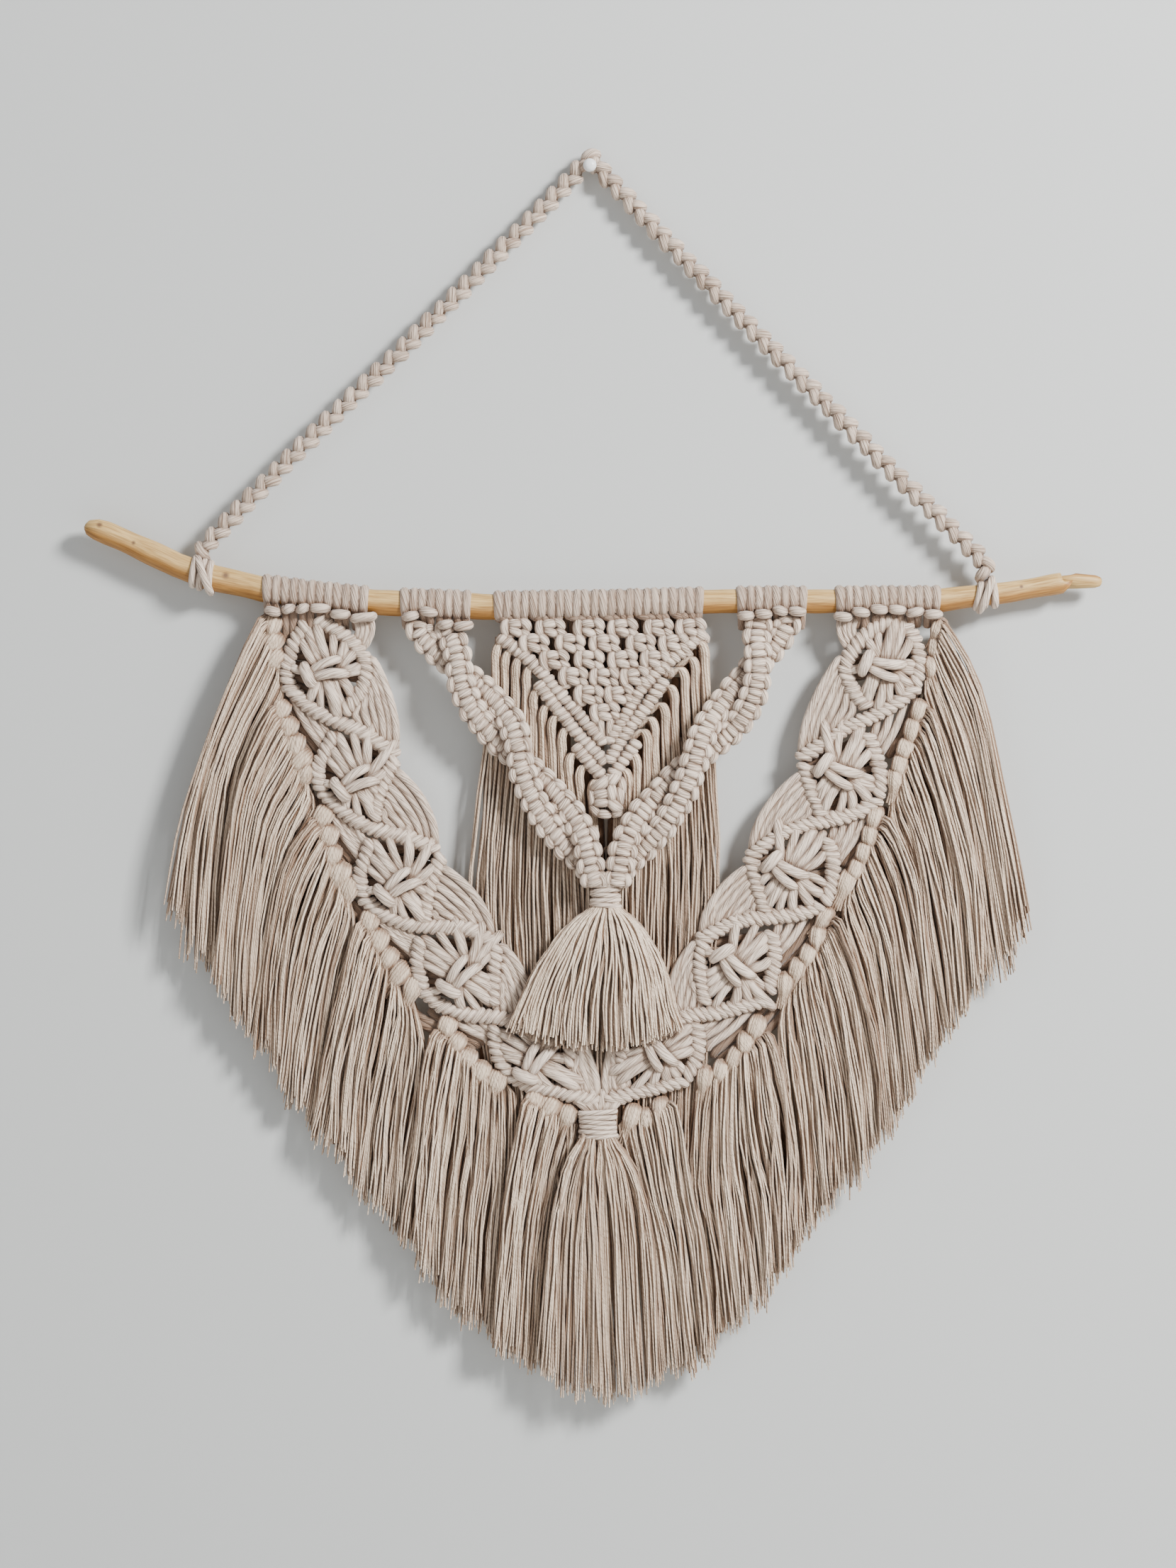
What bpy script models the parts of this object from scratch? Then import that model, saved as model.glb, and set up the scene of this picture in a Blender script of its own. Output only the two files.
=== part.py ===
"""Macrame wall hanging: a knotted cotton panel, a knotted garland and combed fringes on a peeled
branch, hung by a knotted cord from a push pin.

Metres, +Z up, the front facing -Y. The origin is on the pin's axis where it enters the wall, so the
wall's face is the plane Y = 0. Tables give places in millimetres.
"""

import math

import bmesh
import bpy
from mathutils import Vector

MM = 0.001

# Driving dimensions, metres
CLEARANCE = 0.0003  # between neighbouring pieces
WRAP_THICK = 0.0022  # one flattened turn of 5 mm cord round the branch
WRAP_PITCH = 0.0049  # from one turn to the next
TIE_THICK = 0.0030  # the hanger's own turns
TURN_SIDES = 10
SINNET_WIDTH = 0.0124  # a flat square-knot braid
SINNET_DEPTH = 0.0050
HANGER_WIDTH = 0.0088
HANGER_DEPTH = 0.0070
KNOT_DEPTH = 0.0080  # knotted panels, front to back
FRINGE_DEPTH = 0.0056
CENTRE_FRINGE_DEPTH = 0.0048
RAIL = 0.0076  # a knotted rail round a star motif
HUB = 0.0055  # the knot in a star's middle
STAR_GAPS = 6
STAR_GAP_HALF = 0.055  # turns, at the rail
BERRY_Z = -0.3586
BERRY_HALF = (0.0084, 0.0044, 0.0090)  # half its width, depth and height
PIN_SHAFT = 0.00055  # radius
PIN_ARC = PIN_SHAFT + CLEARANCE + HANGER_WIDTH / 2  # the hanger's axis over the pin
LEG_SLOPE = math.radians(46.5)
LEG_SAG = 0.0035

# Planes, metres from the wall
BRANCH_Y = -0.0130
PIN_CORD_Y = -0.0065
KNOT_Y = -0.0152
FRINGE_Y = -0.0140
CENTRE_FRINGE_Y = -0.0085

COTTON = (0.68, 0.60, 0.53)
SHADED_COTTON = (0.60, 0.51, 0.43)

# The branch: place of its axis and its thickness, left end to right end, mm
#         x       z      thick
BRANCH = (
    (-283.6, -204.2, 6.4),
    (-278.8, -205.2, 10.4),
    (-272.8, -207.2, 12.2),
    (-252.8, -216.4, 13.8),
    (-232.8, -225.8, 14.0),
    (-212.8, -232.8, 14.4),
    (-184.0, -239.6, 14.4),
    (-152.8, -243.6, 14.2),
    (-120.8, -246.8, 14.4),
    (-60.8, -249.2, 14.4),
    (7.2, -248.2, 14.0),
    (75.2, -246.0, 13.6),
    (139.2, -245.8, 13.4),
    (199.2, -245.4, 13.0),
    (235.2, -240.8, 12.0),
    (267.2, -235.8, 11.2),
    (274.4, -234.8, 8.6),
    (285.2, -235.0, 7.2),
    (288.4, -235.0, 4.4),
)

# Turns of cord on the branch: first x, number of turns, mm
MOUNT_ROWS = {
    "garland_mount_left": (-184.0, 12),
    "band_mount_left": (-106.6, 8),
    "panel_mount": (-53.8, 24),
    "band_mount_right": (83.0, 8),
    "garland_mount_right": (138.6, 12),
}
HANGER_TIES = {"hanger_tie_left": (-225.0, 3), "hanger_tie_right": (216.4, 3)}
HANGER_FEET = {"left": -217.6, "right": 223.4}  # x of each leg's foot on its tie

# The ten star motifs of the garland, each hung from the row above, mm (x, z). The first of a side
# hangs from the branch at its crown and shoulder.
MOTIF_COLUMNS = ("bend", "waist", "elbow", "tip", "sole", "heel", "hip")
MOTIFS = {
    "left": (
        ((-131, -264), (-123, -281), (-109, -323), (-108, -332), (-146, -319), (-173, -297), (-173, -269)),
        ((-106, -342), (-95, -358), (-87, -377), (-84, -388), (-125, -379), (-151, -360), (-156, -346)),
        ((-82, -396), (-71, -407), (-58, -429), (-53, -439), (-101, -434), (-125, -420), (-132, -407)),
        ((-48, -444), (-38, -451), (-31, -467), (-34, -486), (-73, -483), (-88, -475), (-94, -465)),
        ((-13, -491), (1, -499), (4, -515), (5, -531), (-17, -526), (-36, -523), (-46, -515)),
    ),
    "right": (
        ((150, -264), (143, -281), (124, -323), (118, -335), (155, -316), (185, -301), (187, -279)),
        ((118, -341), (106, -357), (96, -379), (91, -389), (131, -374), (163, -363), (167, -349)),
        ((88, -397), (75, -409), (67, -427), (63, -436), (103, -428), (133, -420), (139, -407)),
        ((57, -444), (45, -453), (42, -469), (44, -483), (79, -480), (99, -473), (105, -465)),
        ((23, -493), (9, -499), (6, -515), (6, -531), (29, -525), (49, -521), (59, -515)),
    ),
}
CROWN = {"left": ((-167, -252.6), (-152, -254.4)), "right": ((187, -255.6), (165, -255.6))}

# Seams between the fringes of a side, outermost first, mm (x, z): where the upper fringe's inner
# edge ends, where the lower one's outer edge starts, and the seam that both then share
SEAM_COLUMNS = ("end", "start", "knee", "calf", "hem")
SEAMS = {
    "left": (
        (None, (-187, -259), (-213, -315), (-228, -363), (-238, -421)),
        ((-174, -301), (-176, -308), (-195, -345), (-202, -399), (-206, -459)),
        ((-156, -367), (-153, -370), (-172, -395), (-182, -443), (-190, -495)),
        ((-133, -433), (-128, -428), (-142, -463), (-154, -503), (-163, -541)),
        ((-94, -499), (-87, -491), (-99, -523), (-107, -563), (-113, -607)),
        ((-44, -525), (-35, -530), (-48, -571), (-56, -615), (-62, -663)),
        ((-8, -543), (-7, -549), (-19, -579), (-31, -615), (-34, -679)),
    ),
    "right": (
        (None, (200, -259), (218, -293), (233, -359), (250, -431)),
        ((190, -301), (190, -308), (205, -349), (217, -399), (222, -453)),
        ((170, -371), (166, -370), (182, -397), (190, -443), (201, -495)),
        ((143, -427), (138, -426), (156, -459), (165, -499), (167, -545)),
        ((107, -489), (101, -492), (114, -523), (120, -563), (127, -607)),
        ((61, -525), (47, -531), (59, -583), (68, -623), (82, -669)),
        ((17, -543), (16, -549), (29, -575), (41, -619), (47, -683)),
    ),
}
# The outer corner of each fringe's head knots, mm (x, z)
HEADS = {
    "left": ((-179, -251.2), (-174, -303), (-151, -364), (-126, -423), (-84, -483), (-25, -528)),
    "right": ((195, -255.6), (186, -304), (163, -365), (132, -423), (96, -482), (37, -527)),
}
FRINGE_TEETH = (7, 5, 6, 8, 8, 5)
HEM_BULGE = (11, 7, 5, 6, 6, 4)  # mm below the straight line between its ends
TASSEL_TEETH = 9
TASSEL_BULGE = 13

# The centre panel: three nested V-shaped rows of hitches under a net of square knots, mm
V_LEFT, V_TIP, V_RIGHT = (-49.0, -267.0), (9.5, -325.6), (62.0, -263.6)
ROW_DROP = 9.4
ROW_THICK = 5.6
#           first and last x of each row
ROW_REACH = ((-49.0, 62.0), (-28.0, 42.0), (-7.0, 27.0))
PANEL_TOP = (-259.4, -258.6)  # z at its left and right ends
NET_PITCH, NET_ROW, NET_GAP = 19.6, 9.5, 1.7  # columns, rows, half a gap's width
NET_FIRST = (-1.0, -270.2)
NET_ROWS = 5

# Outlines of the two halves of the centre fringe, from the V row down the outer side, mm (x, z)
CENTRE_FRINGE = {
    "left": ((-50, -268), (-56, -302), (-60, -350), (-64, -400), (-62, -450), (-52, -505), (-47, -600)),
    "right": ((63, -265), (67, -300), (68, -350), (70, -400), (66, -450), (60, -505), (57, -605)),
}
CENTRE_SLIT = (6.0, 12.0)  # x of the two inner edges
CENTRE_TEETH = 7
CENTRE_FOOT = -604

# The axis of each twisted band from the branch to the gathering wrap, and how far its two braids
# lie to the sides of it and where in the turn they are, mm and half turns
#            x       z       y      side  turn
BAND_AXIS = {
    "left": (
        (-87.0, -259.0, -13.0, 7.8, 0.00),
        (-87.0, -264.5, -14.5, 8.2, 0.03),
        (-73.5, -285.0, -18.2, 8.8, 0.50),
        (-55.0, -311.0, -20.0, 8.8, 1.00),
        (-39.0, -336.0, -21.2, 8.8, 1.50),
        (-16.0, -370.0, -22.0, 8.8, 2.00),
        (-3.0, -391.0, -22.0, 6.6, 2.35),
        (1.8, -399.5, -22.0, 1.2, 2.48),
        (2.2, -405.0, -22.0, 0.0, 2.50),
    ),
    "right": (
        (102.5, -256.0, -13.0, 7.8, 0.00),
        (102.5, -261.5, -14.5, 7.8, 0.04),
        (95.0, -281.0, -18.2, 8.4, 0.50),
        (78.0, -311.0, -20.0, 8.8, 1.00),
        (59.0, -336.0, -21.2, 8.8, 1.50),
        (34.0, -371.0, -22.0, 8.8, 2.00),
        (20.5, -391.0, -22.0, 6.6, 2.35),
        (16.0, -399.5, -22.0, 1.2, 2.48),
        (15.6, -405.0, -22.0, 0.0, 2.50),
    ),
}
BAND_LIFT = 3.5  # mm each braid stands off the axis where they cross
BAND_END_WIDTH = 0.0110

# The gathering wraps: middle x, top z, bottom z, width, depth, y, mm
WRAPS = {
    "band_gather": (9.0, -405.4, -418.0, 19.0, 13.0, -22.6),
    "bottom_gather": (4.6, -532.0, -548.8, 22.8, 12.0, -17.6),
}
# The tassel under the bands: z, middle x, half width, half depth, y, mm
BAND_TASSEL = (
    (-418.4, 9.0, 9.0, 6.0, -22.8),
    (-421.5, 8.5, 14.0, 6.4, -23.4),
    (-428.0, 8.0, 21.0, 6.0, -24.4),
    (-442.0, 7.2, 29.5, 5.0, -25.0),
    (-458.0, 5.6, 37.0, 4.4, -25.0),
    (-474.0, 4.2, 42.5, 4.2, -25.0),
    (-484.0, 4.0, 45.5, 4.0, -25.0),
)
TASSEL_HEM = 13.0  # mm the middle of the hem hangs below its sides
TASSEL_SIDES = 28
TASSEL_RIB = 0.12

# The pin, turned about Y: y, radius, mm
PIN_PROFILE = (
    (9.0, 0.10),
    (7.6, 0.55),
    (-11.2, 0.55),
    (-11.4, 2.90),
    (-12.8, 3.62),
    (-14.6, 3.80),
    (-16.4, 3.10),
    (-17.3, 1.40),
)


def clear_scene():
    for existing in list(bpy.data.objects):
        bpy.data.objects.remove(existing, do_unlink=True)


def material(name, colour, roughness, metallic=0.0):
    """One Principled material, made once for each name."""
    found = bpy.data.materials.get(name)
    if found:
        return found
    made = bpy.data.materials.new(name)
    made.use_nodes = True
    shader = made.node_tree.nodes["Principled BSDF"]
    shader.inputs["Base Color"].default_value = (*colour, 1.0)
    shader.inputs["Roughness"].default_value = roughness
    shader.inputs["Metallic"].default_value = metallic
    return made


def cotton():
    return material("cotton_cord", COTTON, 0.9)


def shaded_cotton():
    return material("combed_cotton", SHADED_COTTON, 0.95)


def finished(name, mesh, finish):
    """A closed bmesh made an object, its faces outwards."""
    bmesh.ops.recalc_face_normals(mesh, faces=mesh.faces[:])
    if mesh.calc_volume(signed=True) < 0:
        bmesh.ops.reverse_faces(mesh, faces=mesh.faces[:])
    data = bpy.data.meshes.new(name)
    mesh.to_mesh(data)
    mesh.free()
    data.shade_smooth()
    data.set_sharp_from_angle(angle=math.radians(50))
    piece = bpy.data.objects.new(name, data)
    piece.data.materials.append(finish)
    bpy.context.scene.collection.objects.link(piece)
    return piece


def loft(name, rings, finish, joined=False):
    """Skin a run of equal rings of points. Its ends are capped, or the last ring meets the first."""
    mesh = bmesh.new()
    loops = [[mesh.verts.new(point) for point in ring] for ring in rings]
    for one, other in zip(loops, loops[1:] + (loops[:1] if joined else [])):
        for here in range(len(one)):
            mesh.faces.new((one[here - 1], one[here], other[here], other[here - 1]))
    if not joined:
        mesh.faces.new(loops[0])
        mesh.faces.new(loops[-1])
    return finished(name, mesh, finish)


def ellipse(centre, across, through, sides, grow=1.0):
    """A ring of points about centre; across and through are its two half axes, as vectors."""
    return [
        centre + grow * (math.cos(turn) * across + math.sin(turn) * through)
        for turn in (2 * math.pi * (side + 0.5) / sides for side in range(sides))
    ]


def smoothed(route, steps):
    """Points along a Catmull-Rom curve through the route, steps to each stretch."""
    ends = [2 * route[0] - route[1], *route, 2 * route[-1] - route[-2]]
    points = []
    for before, here, there, after in zip(ends, ends[1:], ends[2:], ends[3:]):
        for step in range(steps):
            t = step / steps
            points.append(
                0.5
                * (
                    2 * here
                    + t * (there - before)
                    + t * t * (2 * before - 5 * here + 4 * there - after)
                    + t * t * t * (3 * here - 3 * there + after - before)
                )
            )
    return [*points, route[-1]]


def sweep(name, route, widths, depth, finish, level_ends=False, sides=8):
    """A flattened tube that faces the front along its whole route, mitred at its bends."""
    rings = []
    final = len(route) - 1
    for place, (point, width) in enumerate(zip(route, widths)):
        before, after = route[max(place - 1, 0)], route[min(place + 1, final)]
        into = (point - before if place else after - point).normalized()
        onward = (after - point if place < final else into).normalized()
        along = into + onward
        if level_ends and place in (0, final):
            along = Vector((0.0, 0.0, -2.0))
        across = Vector((-along.z, 0.0, along.x)).normalized()
        mitre = 1.0 / max(0.5, along.length / 2)
        through = along.cross(across).normalized()
        rings.append(ellipse(point, across * width / 2 * mitre, through * depth / 2, sides))
    return loft(name, rings, finish)


def flat_points(points):
    return [Vector((x * MM, z * MM)) for x, z in points]


def inset(outline, distance):
    """The outline moved inwards by distance, its corners mitred."""
    count = len(outline)
    twice_area = sum(outline[i - 1].cross(outline[i]) for i in range(count))
    side = 1.0 if twice_area > 0 else -1.0
    moved = []
    for i in range(count):
        into = (outline[i] - outline[i - 1]).normalized()
        onward = (outline[(i + 1) % count] - outline[i]).normalized()
        normal_in = side * Vector((-into.y, into.x))
        normal_on = side * Vector((-onward.y, onward.x))
        middle = (normal_in + normal_on).normalized()
        moved.append(outline[i] + middle * distance / max(0.35, middle.dot(normal_in)))
    return moved


def plate(name, outlines, middle_y, depth, finish):
    """A knotted or combed web: an outline in the XZ plane and its gaps, given a depth along Y."""
    mesh = bmesh.new()
    edges = []
    for outline in outlines:
        corners = [mesh.verts.new((point.x / MM, 0.0, point.y / MM)) for point in outline]
        edges += [mesh.edges.new((corners[i - 1], corners[i])) for i in range(len(corners))]
    bmesh.ops.triangle_fill(mesh, edges=edges, use_beauty=True, normal=(0.0, -1.0, 0.0))
    back = bmesh.ops.extrude_face_region(mesh, geom=mesh.faces[:])["geom"]
    moved = [part for part in back if isinstance(part, bmesh.types.BMVert)]
    bmesh.ops.translate(mesh, verts=moved, vec=(0.0, depth / MM, 0.0))
    bmesh.ops.translate(mesh, verts=mesh.verts[:], vec=(0.0, (middle_y - depth / 2) / MM, 0.0))
    bmesh.ops.scale(mesh, verts=mesh.verts[:], vec=(MM, MM, MM))
    return finished(name, mesh, finish)


def branch_at(x):
    """The branch's axis and radius at x, metres."""
    for (x0, z0, thick0), (x1, z1, thick1) in zip(BRANCH, BRANCH[1:]):
        if x0 * MM <= x <= x1 * MM:
            t = (x / MM - x0) / (x1 - x0)
            radius = (thick0 + t * (thick1 - thick0)) * MM / 2
            return Vector((x, BRANCH_Y, (z0 + t * (z1 - z0)) * MM)), radius
    raise ValueError("beyond the branch's ends")


def make_branch():
    wood = material("peeled_wood", (0.66, 0.44, 0.20), 0.55)
    rings = [
        ellipse(
            Vector((x * MM, BRANCH_Y, z * MM)),
            Vector((0.0, thick * MM / 2, 0.0)),
            Vector((0.0, 0.0, thick * MM / 2)),
            12,
        )
        for x, z, thick in BRANCH
    ]
    loft("branch", rings, wood)


def turns_bore(radius):
    """The inner radius of a sleeve of cord turns, at the corners of its sides."""
    return (radius + CLEARANCE) / math.cos(math.pi / TURN_SIDES)


def make_turns(name, first, turns, thick):
    """A sleeve of cord turns round the branch, ridged at every second turn."""
    outer, inner = [], []
    length = turns * WRAP_PITCH
    steps = max(4, turns)
    for step in range(steps + 1):
        x = first * MM + length * step / steps
        centre, radius = branch_at(x)
        bore = turns_bore(radius)
        ridge = thick if step % 2 else thick * 0.72
        up, out = Vector((0.0, 0.0, 1.0)), Vector((0.0, 1.0, 0.0))
        inner.append(ellipse(centre, out * bore, up * bore, TURN_SIDES))
        outer.append(ellipse(centre, out * (bore + ridge), up * (bore + ridge), TURN_SIDES))
    loft(name, outer + inner[::-1], cotton(), joined=True)


def leg_route(side):
    """One leg of the hanger, from its tie on the branch to where it meets the arc over the pin."""
    tie_x = HANGER_FEET[side] * MM
    edges = [branch_at(tie_x + edge * HANGER_WIDTH / 2) for edge in (-1.5, 0.0, 1.5)]
    top = max(centre.z + turns_bore(radius) for centre, radius in edges) + TIE_THICK + CLEARANCE
    sign = -1.0 if side == "left" else 1.0
    shoulder = Vector((sign * PIN_ARC * math.sin(LEG_SLOPE), PIN_CORD_Y, PIN_ARC * math.cos(LEG_SLOPE)))
    foot = Vector((tie_x, BRANCH_Y, top))
    knee = foot + Vector((-sign * 0.004, 0.0, 0.009))
    points = [foot, foot + Vector((0.0, 0.0, 0.0040)), knee]
    for share in (0.8, 0.6, 0.4, 0.2, 0.1, 0.04):
        sag = LEG_SAG * math.sin(math.pi * share)
        points.append(shoulder.lerp(knee, share) - Vector((0.0, 0.0, sag)))
    return smoothed([*points, shoulder], 2)


def make_hanger():
    over = [
        Vector((PIN_ARC * math.sin(turn), PIN_CORD_Y, PIN_ARC * math.cos(turn)))
        for turn in (math.radians(angle) for angle in (-30, -10, 10, 30))
    ]
    route = [*leg_route("left"), *over, *leg_route("right")[::-1]]
    sweep("hanger_cord", route, [HANGER_WIDTH] * len(route), HANGER_DEPTH, cotton())


def make_pin():
    rings = []
    for y, radius in PIN_PROFILE:
        across, up = Vector((radius * MM, 0.0, 0.0)), Vector((0.0, 0.0, radius * MM))
        rings.append(ellipse(Vector((0.0, y * MM, 0.0)), across, up, 12))
    loft("push_pin", rings, material("pin", (0.80, 0.80, 0.78), 0.35))


def crossing(start, towards, corners):
    """How far the ray from start towards goes before it meets the outline through corners."""
    nearest = 1.0
    for one, other in zip(corners, corners[1:] + corners[:1]):
        edge = other - one
        turned = towards.cross(edge)
        if abs(turned) < 1e-12:
            continue
        reach = (one - start).cross(edge) / turned
        along = (one - start).cross(towards) / turned
        if reach > 0 and 0 <= along <= 1:
            nearest = min(nearest, reach)
    return nearest


def star_gaps(corners):
    """The gaps between the spokes of a star that fills the ring through corners."""
    centre = sum(corners, Vector((0.0, 0.0))) / len(corners)
    gaps = []
    for gap in range(STAR_GAPS):
        gap_points = []
        for offset, start in ((-STAR_GAP_HALF, None), (STAR_GAP_HALF, None), (0.0, HUB)):
            turn = 2 * math.pi * ((gap + 0.5) / STAR_GAPS + offset)
            aim = Vector((math.cos(turn), math.sin(turn)))
            if start:
                gap_points.append(centre + aim * start)
                continue
            edge = crossing(centre, aim, corners)
            gap_points.append(centre + aim * (edge - RAIL))
        length = (gap_points[0].lerp(gap_points[1], 0.5) - gap_points[2]).length
        if length > 0.0025 and (gap_points[0] - centre).length > HUB + 0.001:
            gaps.append(gap_points)
    return gaps


def motif_outlines(side):
    """Each motif's outline and the corners of its star ring, top to bottom, before clearance."""
    found = []
    crown, shoulder = flat_points(CROWN[side])
    top = [crown, shoulder]
    for row in MOTIFS[side]:
        place = dict(zip(MOTIF_COLUMNS, flat_points(row)))
        outline = top + [place[column] for column in MOTIF_COLUMNS]
        ring = [
            top[0].lerp(top[-1], 0.22),
            top[-1].lerp(place["bend"], 0.5),
            place["waist"].lerp(place["sole"], 0.3),
            place["sole"],
            place["heel"],
            place["hip"],
        ]
        found.append((outline, ring, top[0]))
        top = [place["heel"].lerp(place["sole"], 0.12), place["sole"], place["tip"]]
    return found


def make_motifs():
    for side in ("left", "right"):
        for number, (outline, ring, _) in enumerate(motif_outlines(side), 1):
            gaps = star_gaps(ring)
            web = inset(outline, CLEARANCE / 2)
            plate(f"star_motif_{side}_{number}", [web, *gaps], KNOT_Y, KNOT_DEPTH, cotton())


def comb_hem(outer, inner, teeth, bulge):
    """The toothed lower edge between two seams; each seam is given as (calf, hem)."""
    slit = 0.0009
    hem = []
    width = (inner[1] - outer[1]).length

    def at(share, rise):
        left, right = outer[1].lerp(outer[0], rise), inner[1].lerp(inner[0], rise)
        sag = bulge * MM * math.sin(math.pi * share) * (1 - rise)
        return left.lerp(right, share) - Vector((0.0, sag))

    for tooth in range(teeth):
        first, last = tooth / teeth, (tooth + 1) / teeth
        if tooth:
            first += slit / width / 2
            hem.append(at(first, 0.72))
            hem.append(at(first, 0.0))
        if tooth < teeth - 1:
            last -= slit / width / 2
            hem.append(at(last, 0.0))
            hem.append(at(last, 0.72))
    return hem


def seams_of(side):
    return [dict(zip(SEAM_COLUMNS, (c and flat_points([c])[0] for c in row))) for row in SEAMS[side]]


def make_fringes():
    for side in ("left", "right"):
        motifs = motif_outlines(side)
        seams = seams_of(side)
        for number in range(6):
            outer, inner = seams[number], seams[number + 1]
            if number < 5:
                outline, _, crown = motifs[number]
                head = [outline[-1], crown]
            else:
                last = dict(zip(MOTIF_COLUMNS, flat_points(MOTIFS[side][-1])))
                head = [last["sole"].lerp(last["tip"], 0.45), last["sole"]]
            hem = comb_hem(
                (outer["calf"], outer["hem"]),
                (inner["calf"], inner["hem"]),
                FRINGE_TEETH[number],
                HEM_BULGE[number],
            )
            outline = [outer["start"], outer["knee"], outer["calf"], outer["hem"], *hem]
            outline += [inner["hem"], inner["calf"], inner["knee"], inner["end"], *head]
            outline += flat_points([HEADS[side][number]])
            web = inset(outline, CLEARANCE / 2)
            plate(f"fringe_{side}_{number + 1}", [web], FRINGE_Y, FRINGE_DEPTH, shaded_cotton())


def make_bottom_tassel():
    left, right = (seams_of(side)[-1] for side in ("left", "right"))
    hem = comb_hem((left["calf"], left["hem"]), (right["calf"], right["hem"]), TASSEL_TEETH, TASSEL_BULGE)
    outline = [left[column] for column in SEAM_COLUMNS[1:]] + hem
    outline += [right[column] for column in SEAM_COLUMNS[:0:-1]]
    plate("bottom_tassel", [inset(outline, CLEARANCE / 2)], FRINGE_Y, FRINGE_DEPTH, shaded_cotton())


def v_height(x):
    """z of the first V row at x, mm."""
    end = V_LEFT if x < V_TIP[0] else V_RIGHT
    return V_TIP[1] + (end[1] - V_TIP[1]) * (x - V_TIP[0]) / (end[0] - V_TIP[0])


def make_panel():
    slopes = [abs(end[1] - V_TIP[1]) / abs(end[0] - V_TIP[0]) for end in (V_LEFT, V_RIGHT)]
    lift = [(ROW_THICK / 2 + 0.35) * math.hypot(1, slope) for slope in slopes]
    corners = [
        (V_LEFT[0] - 2, PANEL_TOP[0]),
        (V_RIGHT[0] + 1, PANEL_TOP[1]),
        (V_RIGHT[0] + 1, v_height(V_RIGHT[0] + 1) + lift[1]),
        (V_TIP[0], V_TIP[1] + max(lift)),
        (V_LEFT[0] - 2, v_height(V_LEFT[0] - 2) + lift[0]),
    ]
    gaps = []
    for row in range(NET_ROWS):
        z = NET_FIRST[1] - NET_ROW * row
        start = NET_FIRST[0] + NET_PITCH * (0.5 * (row % 2) - 3)
        for column in range(7):
            x = start + NET_PITCH * column
            if V_LEFT[0] < x < V_RIGHT[0] and z - 8.0 > v_height(x):
                gap = ((x, z - 1.5 * NET_GAP), (x + NET_GAP, z), (x, z + 1.5 * NET_GAP), (x - NET_GAP, z))
                gaps.append(flat_points(gap))
    plate("centre_panel", [flat_points(corners), *gaps], KNOT_Y, KNOT_DEPTH, cotton())


def make_v_rows():
    for number, (first, last) in enumerate(ROW_REACH):
        xs = (first, (first + V_TIP[0]) / 2, V_TIP[0], (V_TIP[0] + last) / 2, last)
        route = [Vector((x * MM, KNOT_Y, (v_height(x) - ROW_DROP * number) * MM)) for x in xs]
        sweep(f"v_row_{number + 1}", route, [ROW_THICK * MM] * len(route), KNOT_DEPTH, cotton())


def make_berry():
    """The rolled knot under the V rows: a lofted ball."""
    middle = Vector((V_TIP[0] * MM, KNOT_Y, BERRY_Z))
    rings = []
    for step in range(1, 7):
        turn = math.pi * step / 7
        centre = middle + Vector((0.0, 0.0, BERRY_HALF[2] * math.cos(turn)))
        half = math.sin(turn)
        across, through = Vector((BERRY_HALF[0] * half, 0.0, 0.0)), Vector((0.0, BERRY_HALF[1] * half, 0.0))
        rings.append(ellipse(centre, across, through, 10))
    loft("berry_knot", rings, cotton())


def make_centre_fringes():
    for side, corners in CENTRE_FRINGE.items():
        inner_x = CENTRE_SLIT[0] if side == "left" else CENTRE_SLIT[1]
        outer = flat_points(corners)
        inner = flat_points([(inner_x, -520), (inner_x, CENTRE_FOOT)])
        hem = comb_hem((outer[-2], outer[-1]), inner, CENTRE_TEETH, 3)
        top = flat_points([(inner_x, v_height(inner_x))])
        plate(
            f"centre_fringe_{side}",
            [[*outer, *hem, inner[1], inner[0], *top]],
            CENTRE_FRINGE_Y,
            CENTRE_FRINGE_DEPTH,
            shaded_cotton(),
        )


def make_bands():
    """Two flat braids turned round each other on each side."""
    for side, rows in BAND_AXIS.items():
        table = smoothed([Vector((x, z, y, offset, turn)) for x, z, y, offset, turn in rows], 3)
        hand = 1.0 if side == "left" else -1.0
        for braid, start in (("outer", 1.0), ("inner", 0.0)):
            route, widths = [], []
            for place, (x, z, y, offset, turn) in enumerate(table):
                phase = math.pi * (turn + start)
                shift = offset * math.cos(phase) * hand
                lift = -BAND_LIFT * math.sin(phase)
                route.append(Vector((x + shift, y + lift, z)) * MM)
                near_end = max(0.0, 5 * place / (len(table) - 1) - 4)
                widths.append(SINNET_WIDTH + (BAND_END_WIDTH - SINNET_WIDTH) * near_end)
            sweep(f"band_{side}_{braid}", route, widths, SINNET_DEPTH, cotton(), level_ends=True)


def make_gathers():
    for name, (x, top, bottom, width, depth, y) in WRAPS.items():
        rings = []
        for share, grow in ((0.0, 0.94), (0.12, 1.0), (0.5, 0.98), (0.88, 1.0), (1.0, 0.94)):
            centre = Vector((x, y, top + (bottom - top) * share)) * MM
            across, through = Vector((width * MM / 2, 0.0, 0.0)), Vector((0.0, depth * MM / 2, 0.0))
            rings.append(ellipse(centre, across, through, 14, grow))
        loft(name, rings, cotton())


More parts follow.
